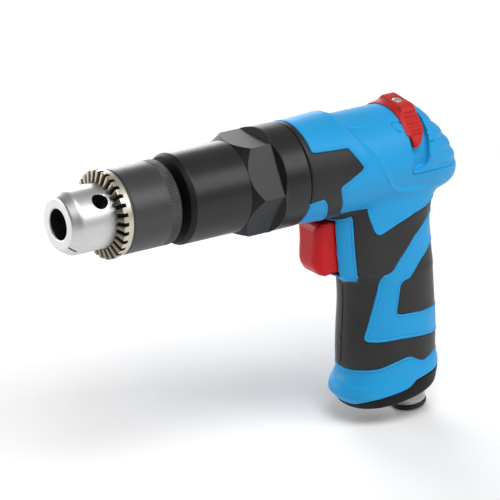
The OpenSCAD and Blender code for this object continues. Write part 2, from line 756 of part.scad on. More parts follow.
// Cut of one spanner flat with a sloped end
module spanner_flat() {
  flat_r = hex_flats / 2;
  slope = (hex_corner_r - flat_r) / hex_run_l;
  rotate([90, 0, 0]) linear_extrude(2 * collar_r, center = true)
    polygon([[-case_end_at + over, flat_r], [-case_end_at - hex_l, flat_r],
      [-case_end_at - hex_l - hex_run_l - over, hex_corner_r + over * slope],
      [-case_end_at + over, hex_corner_r + over * slope]]);
}

// Threaded ring moulded into the housing front
module housing_insert() {
  color(steel) ring(barrel_bore_r, insert_r, collar_end_at - insert_front_l, barrel_at + insert_rear_l);
}

// End plate of the motor with its bearing seat
module end_plate(b, at, seat_from) {
  difference() {
    rod(motor_r, at, at + plate_t);
    rod(b[1], seat_from, seat_from + b[2]);
    rod(b[0] + plate_hole_gap, at - over, at + plate_t + over);
    translate([0, 0, -motor_r * pin_orbit_share]) rod(pin_r + seat_gap, at - over, at + plate_t + over);
  }
}

module front_end_plate() {
  color(steel) end_plate(front_bearing, plate_at, plate_at);
}

module front_bearing_outer() {
  color(steel) outer_race(front_bearing, plate_at);
}

module front_bearing_inner() {
  color(steel) inner_race(front_bearing, plate_at);
}

module front_bearing_balls() {
  color(steel) ball_set(front_bearing, plate_at);
}

// Motor cylinder with an eccentric bore and side ports
module motor_cylinder() {
  color(steel) difference() {
    rod(motor_r, motor_at, rear_plate_at);
    translate([0, 0, motor_offset]) rod(motor_bore_r, motor_at - over, rear_plate_at + over);
    translate([0, 0, -motor_r * pin_orbit_share])
      rod(pin_r + seat_gap, motor_at - over, rear_plate_at + over);
    for (side = [-1, 1]) for (i = [1 : port_count])
      translate([-motor_at - i * motor_l / (port_count + 1), 0, 0]) rotate([side * 90, 0, 0])
        cylinder(r = port_r, h = motor_r + over, $fn = small_fn);
  }
}

// Rotor with its journals and the sun pinion cut on its front end
module rotor() {
  front_at = motor_at + rotor_end_gap;
  rear_at = rear_plate_at - rotor_end_gap;
  color(steel) difference() {
    union() {
      rod(rotor_r, front_at, rear_at);
      rod(front_bearing[0] - seat_gap, gears_at + gear_w + pinion_neck, front_at);
      rod(rear_bearing[0] - seat_gap, rear_at, motor_end_at - rotor_end_gap);
      gear(gear_points(sun_teeth, addendum_share, dedendum_share, backlash), gears_at,
        gear_w + pinion_neck);
    }
    around(vane_count)
      translate([-rear_at - over, -vane_t / 2 - vane_slot_gap, rotor_r - vane_h - vane_slot_gap])
        cube([rear_at - front_at + 2 * over, vane_t + 2 * vane_slot_gap, vane_h + over]);
  }
}

// Sliding vanes, shown drawn into the rotor
module rotor_vanes() {
  front_at = motor_at + rotor_end_gap;
  rear_at = rear_plate_at - rotor_end_gap;
  color(brass) around(vane_count) translate([-rear_at, -vane_t / 2, rotor_r - vane_h])
    cube([rear_at - front_at, vane_t, vane_h - vane_slot_gap]);
}

module rear_end_plate() {
  color(steel) end_plate(rear_bearing, rear_plate_at, rear_bearing_at);
}

module rear_bearing_outer() {
  color(steel) outer_race(rear_bearing, rear_bearing_at);
}

module rear_bearing_inner() {
  color(steel) inner_race(rear_bearing, rear_bearing_at);
}

module rear_bearing_balls() {
  color(steel) ball_set(rear_bearing, rear_bearing_at);
}

// Pin that lines up the motor cylinder and its end plates
module alignment_pin() {
  color(steel) translate([0, 0, -motor_r * pin_orbit_share]) rod(pin_r, plate_at, motor_end_at);
}

// Sector of a ring about the spindle axis, to both sides of the top
module top_sector(r_in, r_out, from, to, span) {
  rotate([0, -90, 0]) rotate([0, 0, -span]) rotate_extrude(angle = 2 * span, $fn = round_fn)
    polygon([[r_in, from], [r_out, from], [r_out, to], [r_in, to]]);
}

// Turning valve that swaps the air ports, with a boss for the lever
module reverse_valve() {
  color(brass) rotate([-lever_rest, 0, 0]) difference() {
    union() {
      rod(reverse_r, motor_end_at + free_gap, cavity_end_at - free_gap);
      top_sector(reverse_r - over, slot_floor_r + lever_gap - seat_gap, slot_at - boss_w / 2,
        slot_at + boss_w / 2, boss_span);
    }
    for (side = [-1, 1]) rotate([side * valve_port_turn, 0, 0]) translate([0, 0, valve_port_orbit])
      rod(valve_port_r, motor_end_at - over, slot_at - slot_w);
    rod(rear_bearing[0], motor_end_at - over, motor_end_at + over);
    translate([-slot_at, 0, lever_screw_z - lever_screw_l])
      cylinder(r = lever_screw_r + seat_gap, h = lever_screw_l, $fn = small_fn);
  }
}

// Thumb lever with a crown between two ribbed wings
module reverse_lever() {
  lever_from = slot_at - lever_w / 2;
  lever_to = slot_at + lever_w / 2;
  color(red) rotate([-lever_rest, 0, 0]) difference() {
    union() {
      top_sector(slot_floor_r + lever_gap, lever_wing_r, lever_from, lever_to, lever_span);
      intersection() {
        top_sector(slot_floor_r + lever_gap + over, lever_top_r + over, lever_from, lever_to, lever_span / 2);
        translate([0, 0, lever_top_r - lever_crown_r]) rod(lever_crown_r, lever_from - over, lever_to + over);
      }
    }
    for (side = [-1, 1]) for (i = [0 : lever_rib_count - 1])
      rotate([side * lever_span * (rib_first_share + rib_step_share * i), 0, 0])
        translate([0, 0, lever_wing_r]) rod(lever_rib_r, lever_from - over, lever_to + over);
    translate([-slot_at, 0, lever_screw_z - lever_screw_l])
      cylinder(r = lever_screw_r + seat_gap, h = lever_screw_l + over, $fn = small_fn);
    translate([-slot_at, 0, lever_screw_z - lever_screw_head_h])
      cylinder(r = lever_screw_head_r + seat_gap, h = lever_screw_head_h + over, $fn = small_fn);
  }
}

// Cross-head screw that holds the lever on the valve
module lever_screw() {
  color(steel) rotate([-lever_rest, 0, 0]) translate([-slot_at, 0, lever_screw_z]) difference() {
    union() {
      translate([0, 0, -lever_screw_l]) cylinder(r = lever_screw_r, h = lever_screw_l, $fn = small_fn);
      translate([0, 0, -lever_screw_head_h]) cylinder(r = lever_screw_head_r, h = lever_screw_head_h,
        $fn = small_fn);
    }
    for (turn = [0, 90]) rotate([0, 0, turn]) translate([-cross_l / 2, -cross_w / 2, -cross_d])
      cube([cross_l, cross_w, cross_d + over]);
  }
}

// Half width of the superellipse of a grip row at turn t, as a signed power
function bulge(v, squareness) = sign(v) * pow(abs(v), 2 / squareness);

// Ring of points of one grip row, drawn in by an inset
function grip_ring(row, inset) =
  let(front = -grip_at - row[1] * grip_depth - inset, back = -grip_at - row[2] * grip_depth + inset,
    half_w = row[3] * grip_w / 2 - inset)
  [for (i = [0 : ring_points - 1]) let(t = i * 360 / ring_points)
    [(front + back) / 2 + (front - back) / 2 * bulge(cos(t), row[4]), half_w * bulge(sin(t), row[4]),
      -row[0] * grip_drop]];

// Solid lofted through rings of points
module loft(rings) {
  rows = len(rings);
  n = len(rings[0]);
  sides = [for (k = [0 : rows - 2]) for (i = [0 : n - 1])
    let(a = k * n + i, b = k * n + (i + 1) % n)
    each [[a, b, a + n], [b, b + n, a + n]]];
  caps = [[for (i = [n - 1 : -1 : 0]) i], [for (i = [0 : n - 1]) (rows - 1) * n + i]];
  polyhedron(points = [for (r = rings) each r], faces = concat(sides, caps));
}

// Grip form, drawn in by an inset
module grip_form(inset = 0) {
  loft([for (row = grip_rows_shares) grip_ring(row, inset)]);
}

// Frame of the foot, tilted with its plane at height zero
module foot_frame() {
  translate([-grip_at, 0, -foot_drop]) rotate([0, foot_tilt, 0]) children();
}

// Everything below the foot plane
module below_foot() {
  foot_frame() translate([-grip_depth, -grip_w, -grip_depth])
    cube([2 * grip_depth, 2 * grip_w, grip_depth]);
}

// Rubber outlines as slabs across the whole width
function grip_points(shares) = [for (s = shares) [grip_at + s[0] * grip_depth, -s[1] * grip_drop]];
function front_points(shares) = [for (s = shares) [barrel_at + s[0] * front_l, s[1] * barrel_front_r]];

module rubber_grip_slab() {
  side_slab(grip_points(rubber_main_shares), grip_w);
  side_slab(grip_points(rubber_rear_shares), grip_w);
}

module rubber_front_slab() {
  side_slab(front_points(rubber_front_shares), grip_w);
}

// Raised front of the barrel, drawn in by an inset
module front_form(inset = 0) {
  turned(concat([[0, barrel_at]],
    [for (s = front_round_shares) [barrel_front_r * s[1] - inset, barrel_at + s[0] * front_l]],
    [[0, barrel_at + front_l]]));
}

// Round rear barrel up to the dome
module rear_form() {
  turned([[0, barrel_at], [barrel_r - rubber_t - rubber_step, barrel_at],
    [barrel_r, barrel_at + barrel_lead_l], [barrel_r, dome_at], [0, dome_at]]);
}

// Ring of points of one dome row
function dome_ring(row) =
  let(top = row[1] * barrel_r, bottom = row[2] * barrel_r, half_w = row[3] * barrel_r)
  [for (i = [0 : ring_points - 1]) let(t = i * 360 / ring_points)
    [-dome_at - row[0] * dome_l, -half_w * bulge(sin(t), dome_square),
      (top + bottom) / 2 + (top - bottom) / 2 * bulge(cos(t), dome_square)]];

// Rear dome that droops over the hand
module dome_form() {
  loft([for (row = dome_rows_shares) dome_ring(row)]);
}

// Hand grip and barrel in one moulding
module housing() {
  color(blue) difference() {
    union() {
      front_face();
      front_form_core();
      rear_form();
      dome_form();
      difference() {
        grip_form();
        rubber_grip_slab();
      }
      grip_form(rubber_t + rubber_step);
    }
    below_foot();
    rod(barrel_bore_r, barrel_at - over, motor_end_at);
    rod(insert_r + insert_gap, barrel_at - over, barrel_at + insert_rear_l + insert_gap);
    rod(reverse_r + run_gap, motor_end_at - over, cavity_end_at);
    top_sector(slot_floor_r, lever_top_r + over, slot_at - slot_w / 2, slot_at + slot_w / 2, slot_span);
    top_sector(reverse_r - over, slot_floor_r + over, slot_at - boss_w / 2 - lever_gap,
      slot_at + boss_w / 2 + lever_gap, boss_span + lever_turn + boss_gap_span);
    trigger_pocket();
    translate([0, 0, stem_z]) rod(chest_r, pocket_end_at - over, pocket_end_at + chest_l);
    for (side = [-1, 1]) translate([-exhaust_at, side * exhaust_side, -foot_drop])
      cylinder(r = exhaust_r, h = foot_drop - barrel_r / 2, $fn = small_fn);
    foot_frame() {
      translate([-inlet_back, 0, -over]) cylinder(r = inlet_body_r + seat_gap, h = inlet_in_l + over,
        $fn = round_fn);
      translate([-inlet_back, 0, 0]) cylinder(r = passage_r, h = foot_drop + stem_z, $fn = small_fn);
      translate([muffler_front, 0, -over]) cylinder(r = muffler_r, h = muffler_h + over, $fn = round_fn);
      for (side = [-1, 1]) translate([screw_front, side * screw_side, -over])
        cylinder(r = screw_r + seat_gap, h = screw_l + over, $fn = small_fn);
    }
  }
}

// Barrel front between the rubber patches
module front_face() {
  difference() {
    intersection() {
      front_form();
      side_slab(front_points(step_shares), grip_w);
    }
    rubber_front_slab();
  }
}

// Barrel front under the rubber
module front_form_core() {
  intersection() {
    front_form(rubber_t + rubber_step);
    side_slab(front_points(step_shares), grip_w);
  }
}

// Pocket in the housing that guides the trigger
module trigger_pocket() {
  translate([-pocket_end_at, -trigger_w / 2 - pocket_gap, -trigger_top - trigger_h - pocket_gap])
    cube([pocket_end_at - trigger_face_at, trigger_w + 2 * pocket_gap, trigger_h + 2 * pocket_gap]);
}

// Soft rubber moulded into the recesses of the housing
module grip_overmould() {
  seat = rubber_t + rubber_step - seat_gap;
  color(rubber_black) {
    difference() {
      intersection() {
        grip_form(rubber_step);
        rubber_grip_slab();
      }
      grip_form(seat);
      trigger_pocket();
      rear_form();
      dome_form();
      front_face();
      front_form(rubber_step);
    }
    difference() {
      intersection() {
        front_form(rubber_step);
        rubber_front_slab();
        side_slab(front_points(step_shares), grip_w);
      }
      front_form(seat);
      trigger_pocket();
      grip_form(seat);
    }
  }
}

// Trigger with a rounded face that carries the finger
module trigger() {
  points = [for (s = trigger_shares) [trigger_face_at + s[0] * trigger_l, -trigger_top - s[1] * trigger_h]];
  round_r = trigger_w * trigger_round_share;
  color(red) difference() {
    intersection() {
      side_slab(points, trigger_w / 2);
      translate([0, 0, -trigger_top - trigger_h - over]) linear_extrude(trigger_h + 2 * over) union() {
        for (side = [-1, 1]) translate([-trigger_face_at - round_r, side * (trigger_w / 2 - round_r)])
          circle(r = round_r, $fn = small_fn);
        translate([-trigger_face_at - round_r, -trigger_w / 2 + round_r])
          square([round_r, trigger_w - 2 * round_r]);
        translate([-trigger_face_at - trigger_l - over, -trigger_w / 2])
          square([trigger_l + over - round_r, trigger_w]);
      }
    }
    translate([0, 0, stem_z]) rod(stem_r + seat_gap, trigger_face_at + trigger_l - stem_socket,
      trigger_face_at + trigger_l + over);
  }
}

// Pin from the trigger to the throttle valve
module trigger_stem() {
  color(steel) translate([0, 0, stem_z]) rod(stem_r, trigger_face_at + trigger_l - stem_socket, stem_end_at);
}

// Poppet that the stem lifts off its seat
module throttle_valve() {
  color(brass) translate([0, 0, stem_z]) {
    rod(valve_r, valve_at, valve_at + valve_t);
    rod(valve_stem_r, valve_at + valve_t, valve_at + valve_t + valve_stem_l);
  }
}

// Bush that guides the stem and seats the valve
module valve_seat() {
  color(brass) translate([0, 0, stem_z])
    ring(seat_bore_r, chest_r - seat_gap, pocket_end_at, pocket_end_at + seat_l);
}

// Return spring between the valve and the end of the chest
module valve_spring() {
  from = valve_at + valve_t + spring_wire_r + seat_gap;
  to = pocket_end_at + chest_l - spring_wire_r - seat_gap;
  steps = spring_turns * spring_rings;
  points = [for (k = [0 : steps]) for (j = [0 : spring_sides - 1])
    let(turn = k * 360 / spring_rings, side = j * 360 / spring_sides,
      r = spring_r + spring_wire_r * cos(side))
    [-(from + (to - from) * k / steps) + spring_wire_r * sin(side), r * cos(turn), stem_z + r * sin(turn)]];
  sides = [for (k = [0 : steps - 1]) for (j = [0 : spring_sides - 1])
    let(a = k * spring_sides + j, b = k * spring_sides + (j + 1) % spring_sides)
    each [[a, a + spring_sides, b], [b, a + spring_sides, b + spring_sides]]];
  caps = [[for (j = [0 : spring_sides - 1]) j],
    [for (j = [spring_sides - 1 : -1 : 0]) steps * spring_sides + j]];
  color(steel) polyhedron(points = points, faces = concat(sides, caps));
}

// Steel inlet bush with a pipe thread bore
module inlet_bushing() {
  color(steel) foot_frame() translate([-inlet_back, 0, 0]) rotate_extrude($fn = round_fn)
    polygon([[inlet_bore_r, -inlet_reach], [inlet_end_r, -inlet_reach], [inlet_end_r, -inlet_reach + guard_h],
      [inlet_waist_r, -cover_t - guard_h], [inlet_end_r, -cover_t + guard_h / 2], [inlet_end_r, 0],
      [inlet_body_r, 0], [inlet_body_r, inlet_in_l - screen_t], [passage_r, inlet_in_l - screen_t],
      [passage_r, inlet_bore_l - inlet_reach], [inlet_bore_r, inlet_bore_l - inlet_reach]]);
}

// Strainer plate on top of the inlet bush
module inlet_screen() {
  color(brass) foot_frame() translate([-inlet_back, 0, inlet_in_l - screen_t + seat_gap]) difference() {
    cylinder(r = inlet_body_r, h = screen_t - 2 * seat_gap, $fn = round_fn);
    for (k = [0 : len(screen_orbits) - 1]) for (i = [0 : screen_counts[k] - 1])
      rotate([0, 0, i * 360 / screen_counts[k]]) translate([screen_orbits[k], 0, -over])
        cylinder(r = screen_hole_r, h = screen_t + 2 * over, $fn = small_fn);
  }
}

// Black ring that guards the edge of the inlet
module inlet_guard_ring() {
  color(rubber_black) foot_frame() translate([-inlet_back, 0, -inlet_reach - guard_h])
    rotate_extrude($fn = round_fn)
      polygon([[inlet_bore_r + guard_bite, 0], [guard_r - guard_bite, 0], [guard_r, guard_bite],
        [guard_r, guard_h], [inlet_bore_r + guard_bite, guard_h]]);
}

// Sealing ring between the bush and the cover
module inlet_seal() {
  color(rubber_black) foot_frame() translate([-inlet_back, 0, -seal_r - seal_step])
    rotate_extrude($fn = round_fn) translate([inlet_end_r + seal_r + seal_step, 0])
      circle(r = seal_r, $fn = small_fn);
}

// Outline of the foot drawn in by a share
module foot_outline(share) {
  row = grip_rows_shares[14];
  front = -row[1] * grip_depth * share;
  back = -row[2] * grip_depth * share;
  half_w = row[3] * grip_w / 2 * share;
  polygon([for (i = [0 : ring_points - 1]) let(t = i * 360 / ring_points)
    [(front + back) / 2 + (front - back) / 2 * bulge(cos(t), row[4]), half_w * bulge(sin(t), row[4])]]);
}

// Exhaust cover under the foot
module bottom_cover() {
  color(rubber_black) foot_frame() difference() {
    translate([0, 0, -seat_gap]) mirror([0, 0, 1]) linear_extrude(cover_t,
      scale = cover_inset_shares[1] / cover_inset_shares[0]) foot_outline(cover_inset_shares[0]);
    translate([-inlet_back, 0, -cover_t - over]) cylinder(r = inlet_end_r + cover_hole_gap,
      h = cover_t + 2 * over, $fn = round_fn);
    translate([-inlet_back, 0, -2 * seal_r - 2 * seal_step])
      cylinder(r = inlet_end_r + 2 * seal_r + 2 * seal_step, h = 2 * seal_r + over, $fn = round_fn);
    for (i = [0 : exhaust_slot_count - 1])
      translate([muffler_front + (i - (exhaust_slot_count - 1) / 2) * exhaust_slot_step - exhaust_slot_w / 2,
        -exhaust_slot_l / 2, -cover_t - over])
        cube([exhaust_slot_w, exhaust_slot_l, cover_t + 2 * over]);
    for (side = [-1, 1]) translate([screw_front, side * screw_side, -cover_t - over]) {
      cylinder(r = screw_r + seat_gap, h = cover_t + 2 * over, $fn = small_fn);
      cylinder(r = screw_head_r + seat_gap, h = over + screw_sink + screw_head_h, $fn = small_fn);
    }
  }
}

// Felt that quietens the exhaust
module muffler_felt() {
  color(felt_white) foot_frame() translate([muffler_front, 0, 0])
    cylinder(r = muffler_r - felt_gap, h = felt_h, $fn = round_fn);
}

// Screws that hold the cover to the housing
module cover_screws() {
  color(steel) foot_frame() for (side = [-1, 1])
    translate([screw_front, side * screw_side, -cover_t + screw_sink]) difference() {
      union() {
        cylinder(r = screw_head_r, h = screw_head_h, $fn = small_fn);
        cylinder(r = screw_r, h = cover_t - screw_sink + screw_l - over, $fn = small_fn);
      }
      for (turn = [0, 90]) rotate([0, 0, turn]) translate([-cross_l / 2, -cross_w / 2, -over])
        cube([cross_l, cross_w, cross_d + over]);
    }
}

chuck_body();
chuck_sleeve();
chuck_nut();
chuck_jaw_1();
chuck_jaw_2();
chuck_jaw_3();
chuck_screw();
spindle();
spindle_bearing_outer();
spindle_bearing_inner();
spindle_bearing_balls();
bearing_circlip();
planet_pins();
planet_gear_1();
planet_gear_2();
planet_gear_3();
ring_gear();
gear_case();
hex_collar();
housing_insert();
front_end_plate();
front_bearing_outer();
front_bearing_inner();
front_bearing_balls();
motor_cylinder();
rotor();
rotor_vanes();
rear_end_plate();
rear_bearing_outer();
rear_bearing_inner();
rear_bearing_balls();
alignment_pin();
reverse_valve();
reverse_lever();
lever_screw();
housing();
grip_overmould();
trigger();
trigger_stem();
throttle_valve();
valve_seat();
valve_spring();
inlet_bushing();
inlet_screen();
inlet_guard_ring();
inlet_seal();
bottom_cover();
muffler_felt();
cover_screws();
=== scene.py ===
"""Air drill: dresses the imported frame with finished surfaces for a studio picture."""
import math

import bpy
import numpy as np
from mathutils import Matrix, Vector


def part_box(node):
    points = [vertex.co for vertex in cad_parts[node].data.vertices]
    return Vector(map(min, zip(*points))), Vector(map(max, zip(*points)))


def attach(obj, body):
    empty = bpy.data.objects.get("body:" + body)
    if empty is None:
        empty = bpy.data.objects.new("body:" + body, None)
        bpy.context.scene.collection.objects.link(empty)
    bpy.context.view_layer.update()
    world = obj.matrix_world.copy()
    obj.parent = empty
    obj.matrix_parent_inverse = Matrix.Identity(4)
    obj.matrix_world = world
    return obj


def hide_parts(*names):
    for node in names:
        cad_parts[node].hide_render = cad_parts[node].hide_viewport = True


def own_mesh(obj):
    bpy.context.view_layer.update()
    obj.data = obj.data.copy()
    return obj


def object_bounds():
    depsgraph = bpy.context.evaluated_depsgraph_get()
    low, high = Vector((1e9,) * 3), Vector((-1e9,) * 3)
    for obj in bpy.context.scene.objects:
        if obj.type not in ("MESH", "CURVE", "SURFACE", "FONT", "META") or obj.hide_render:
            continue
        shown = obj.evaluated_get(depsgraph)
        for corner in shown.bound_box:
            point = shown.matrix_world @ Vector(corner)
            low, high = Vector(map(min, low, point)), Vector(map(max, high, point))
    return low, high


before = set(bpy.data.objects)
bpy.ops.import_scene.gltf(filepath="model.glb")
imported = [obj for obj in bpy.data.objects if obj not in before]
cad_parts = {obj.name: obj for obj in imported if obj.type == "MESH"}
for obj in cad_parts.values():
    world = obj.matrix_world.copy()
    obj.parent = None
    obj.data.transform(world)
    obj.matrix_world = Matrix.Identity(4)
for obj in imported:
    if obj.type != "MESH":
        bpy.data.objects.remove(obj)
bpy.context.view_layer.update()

# All shapes below are worked out in millimetres and stored in metres
MM = 0.001

# Stations along the spindle axis, counted backward from the chuck face, and radii
CASE_AT, CASE_END, CASE_R, CASE_LIP_R = 49.9, 77.6, 18.4, 17.2
COLLAR_END, COLLAR_R, HEX_CORNER_R, HEX_FLAT_R = 104.2, 21.2, 21.5, 18.5
HEX_BEVEL, HEX_L, HEX_RUN, HEX_TURN = 4.4, 13.6, 2.0, 2.0
BARREL_AT, BARREL_R, FRONT_R, FRONT_L = 104.6, 19.6, 21.6, 46.0
BORE_R, MOTOR_END, REVERSE_R, CAVITY_END, ROOM_LAP = 17.6, 148.3, 13.05, 165.2, 1
DOME_AT, DOME_L, DOME_SQUARE, DOME_SQUARE_BY, DOME_EDGE = 161.6, 25.3, 0.1, 0.3, 2.5
GRIP_AT, GRIP_DEPTH, GRIP_W, GRIP_DROP, GRIP_START = 157.3, 45.6, 32.6, 109.0, 4
FOOT_DROP, FOOT_TILT, COVER_T, COVER_LOWER = 100.5, math.radians(8), 3.8, 0.7
SLOT_AT, SLOT_FLOOR, SLOT_SPAN, SLOT_FRONT, SLOT_CORNER = 158.6, 17.0, 100.0, 155.2, 4.2
SLOT_REAR = ([0, 40, 97], [164.9, 165, 163.4])
ARM_HALF_L, ARM_SPAN, ARM_DEGREE = 3.8, 39, 0.3
TRIGGER_AT, TRIGGER_L, TRIGGER_TOP, TRIGGER_H, TRIGGER_W = 115.6, 17.7, 22.4, 23.6, 15.0
TRIGGER_PLAY, TRIGGER_TRAVEL, SPRING_R, SPRING_WIRE_R = 0.4, 5.5, 3.3, 0.4
POCKET_END, CHEST_IN, CHEST_R, CHEST_END, STEM_Z = 140.0, 12, 6.0, 166.0, -34.2
INLET_BACK, MUFFLER_FRONT = 10.7, 8.6
RIB_LOW, RIB_STEP, RIB_DEPTH, RIB_COUNT = -3.1, 5.05, 1.1, 4
RIB_START, RIB_FADE, RIB_DROOP, RIB_DROOP_AT = 165.5, 4, 0.155, 168
# Widths over which two forms blend where they meet
FRONT_EDGE, GRIP_BLEND, COVER_EDGE, SLOT_EDGE, ROOM_EDGE = 0.8, 1.8, 1.6, 0.5, 0.8

# Dome rows as length share, top share, bottom share and half width share
DOME_ROWS = np.array([
    [-0.3, 1, -1, 1], [0, 1, -1, 1], [0.13, 0.985, -1, 0.985], [0.29, 0.885, -1, 0.96],
    [0.445, 0.715, -1, 0.905], [0.6, 0.52, -0.99, 0.83], [0.74, 0.315, -0.96, 0.73],
    [0.855, 0.09, -0.9, 0.6], [0.94, -0.13, -0.8, 0.44], [1, -0.357, -0.63, 0.204]])
# Grip rows as drop share, front share, rear share, half width share and squareness
GRIP_ROWS = np.array([
    [0.05, -0.64, 0.42, 0.95, 2.4], [0.13, -0.71, 0.465, 1.01, 2.4], [0.2, -0.75, 0.41, 1.02, 2.45],
    [0.27, -0.742, 0.383, 1.01, 2.5], [0.34, -0.728, 0.4, 1.005, 2.5], [0.42, -0.7, 0.428, 0.99, 2.5],
    [0.45, -0.55, 0.438, 0.985, 2.4], [0.48, -0.492, 0.45, 0.98, 2.2], [0.57, -0.485, 0.476, 0.98, 2.1],
    [0.66, -0.492, 0.49, 1, 2.1], [0.75, -0.5, 0.5, 1.005, 2.1], [0.81, -0.496, 0.5, 1.01, 2.1],
    [0.845, -0.483, 0.52, 1.03, 2.1], [0.875, -0.5, 0.516, 1.06, 2.2], [0.9, -0.545, 0.508, 1.06, 2.2],
    [0.925, -0.556, 0.495, 1.06, 2.2], [0.96, -0.49, 0.465, 1.02, 2.2], [1, -0.425, 0.42, 0.97, 2.1]])
# Rubber outlines on the side of the grip, as depth share, drop share and, where given, corner radius
RUBBER_MAIN = [
    (-0.85, 0.147), (-0.57, 0.155), (-0.455, 0.155), (-0.465, 0.167), (-0.44, 0.203), (-0.402, 0.244),
    (-0.372, 0.262), (-0.33, 0.267), (-0.29, 0.26), (-0.13, 0.234), (0.045, 0.211), (0.215, 0.2),
    (0.7, 0.16), (0.7, 0.21), (0.38, 0.225), (0.25, 0.25), (0.054, 0.304), (-0.118, 0.383),
    (-0.19, 0.424), (-0.232, 0.431), (-0.285, 0.434), (-0.304, 0.45), (-0.314, 0.502),
    (-0.338, 0.563), (-0.402, 0.683), (-0.403, 0.695), (-0.383, 0.705), (-0.3, 0.707), (-0.1, 0.703),
    (0.067, 0.708), (0.2, 0.716), (0.335, 0.725), (0.7, 0.75), (0.7, 0.8), (0.366, 0.804),
    (0.282, 0.81), (0.187, 0.816), (0.133, 0.809), (0.034, 0.786), (-0.012, 0.782), (-0.148, 0.795),
    (-0.283, 0.814), (-0.397, 0.821), (-0.48, 0.824), (-0.7, 0.822), (-0.7, 0.485), (-0.493, 0.485, 0.2),
    (-0.491, 0.466, 0.2), (-0.469, 0.457, 0.2), (-0.511, 0.435), (-0.535, 0.418), (-0.555, 0.36), (-0.57, 0.31),
    (-0.595, 0.178, 0.3), (-0.7, 0.192), (-0.85, 0.2)]
RUBBER_REAR = [
    (0.281, 0.365), (0.125, 0.411), (0.003, 0.466), (-0.064, 0.472), (-0.095, 0.485), (-0.13, 0.603),
    (0.2, 0.615), (0.34, 0.62), (0.7, 0.63), (0.7, 0.32)]
# Rubber outline on the side of the barrel front, as length share and radius share
RUBBER_FRONT = [
    (-0.1, 2), (0.046, 2), (0.058, 0.588), (0.42, 0.556), (0.552, 0.148), (0.325, -0.093),
    (0.296, -0.157), (0.4, -0.745), (0.42, -2), (0.31, -2), (0.31, -0.98), (0.246, -0.704), (0.19, -0.43),
    (0.147, -0.3), (0, -0.34), (-0.1, -0.34)]
# Trigger outline as length share and height share
TRIGGER_SIDE = [
    (0.12, 0), (0.07, 0.16), (0.08, 0.4), (0.06, 0.62), (0.06, 0.72), (0.1, 0.82), (0.22, 0.95),
    (0.36, 1), (0.62, 0.975), (1, 0.975), (1, 0)]
# Ridge of the raised barrel front by turn above the side: depth, and length and height of the slope behind it
RIDGE = ([-90, -40, -31, -22, -0.6, 17, 36, 56, 70, 90], [150, 150, 148.5, 144.8, 140, 135.7, 130.4, 126.8, 125.2, 125])
RIDGE_RUN = ([-90, 36, 56, 70, 90], [1.7, 1.7, 2.6, 5.4, 5.8])
RIDGE_STEP = ([-90, -31, 0, 36, 70, 90], [0.8, 0.8, 1.0, 1.4, 2.0, 2.0])
RIDGE_BLEND, RIDGE_POWER = 2.0, 1.35
# Height of the raised form by depth, and how what is left of it behind the ridge runs out
FRONT_ROUND = ([104.6, 107, 111.5, 115, 119, 123, 150, 165, 178], [1.3, 1.5, 1.65, 1.85, 1.95, 2.02, 2, 0.9, 0])
FRONT_RISE, RISE_FADE = 2, ([140, 160], [1, 0])
# Edge of the raised form behind the ridge, over the hand: depth, and turn above the side
SHELF = ([148, 156.7, 168, 176, 190], [-31.5, -35.5, -42, -44, -44])
# Thin lines pressed into the moulding, as depth and turn above the side
PANEL = [(155.1, -8.3), (155.4, -13), (156.6, -15.4), (161.8, -15.8), (169.9, -17), (178.5, -22)]
CREASE = [(130.6, 58.3), (136, 56.4), (141, 54.8)]
CREASE_END, CREASE_FADE, CREASE_LEAST = 142, 10, 0.2
TURN_MARK = [(154.3, 51.5), (152.9, 54.8), (151.2, 55.8), (150, 54), (149.6, 50), (149.9, 46.5), (151, 43.4)]
DIMPLE = [(166, 21.3), (166.3, 21.3)]


# Curves and fields
def curve(x, xs, ys):
    """Monotone cubic through the points, held level beyond the ends."""
    xs, ys = np.asarray(xs, float), np.asarray(ys, float)
    gap, rise = np.diff(xs), np.diff(ys) / np.diff(xs)
    slope = np.zeros_like(ys)
    product = rise[:-1] * rise[1:]
    total = rise[:-1] + rise[1:]
    slope[1:-1] = np.where(product > 0, 2 * product / np.where(product > 0, total, 1), 0)
    slope[0], slope[-1] = rise[0], rise[-1]
    x = np.clip(x, xs[0], xs[-1])
    i = np.clip(np.searchsorted(xs, x) - 1, 0, len(xs) - 2)
    h = gap[i]
    t = (x - xs[i]) / h
    u = 1 - t
    return (ys[i] * u * u * (1 + 2 * t) + ys[i + 1] * t * t * (1 + 2 * u)
            + h * t * u * (slope[i] * u - slope[i + 1] * t))


def soft_min(a, b, k):
    """Smaller of two fields, blended over a width k."""
    h = np.clip(0.5 + 0.5 * (b - a) / k, 0, 1)
    return b + (a - b) * h - k * h * (1 - h)


def soft_max(a, b, k):
    """Larger of two fields, blended alike."""
    return -soft_min(-a, -b, k)


def oval(u, v, a, b, n):
    """Distance to a superellipse of half sizes a and b, from coordinates u and v counted in half sizes."""
    u, v = np.maximum(u, 1e-4), np.maximum(v, 1e-4)
    g = (u ** n + v ** n) ** (1 / n)
    slope = g ** (1 - n) * np.sqrt((u ** (n - 1) / a) ** 2 + (v ** (n - 1) / b) ** 2)
    return (g - 1) / np.maximum(slope, 1e-4)


def outline(points, d, z):
    """Signed distance to a closed outline, negative inside."""
    best = np.full(d.shape, 1e9)
    inside = np.zeros(d.shape, bool)
    for a, b in zip(points, np.roll(points, -1, axis=0)):
        e = b - a
        p, q = d - a[0], z - a[1]
        t = np.clip((p * e[0] + q * e[1]) / max(e @ e, 1e-9), 0, 1)
        best = np.minimum(best, (p - e[0] * t) ** 2 + (q - e[1] * t) ** 2)
        if e[1]:
            inside ^= ((a[1] > z) != (b[1] > z)) & (d < a[0] + e[0] * q / e[1])
    return np.where(inside, -1, 1) * np.sqrt(best)


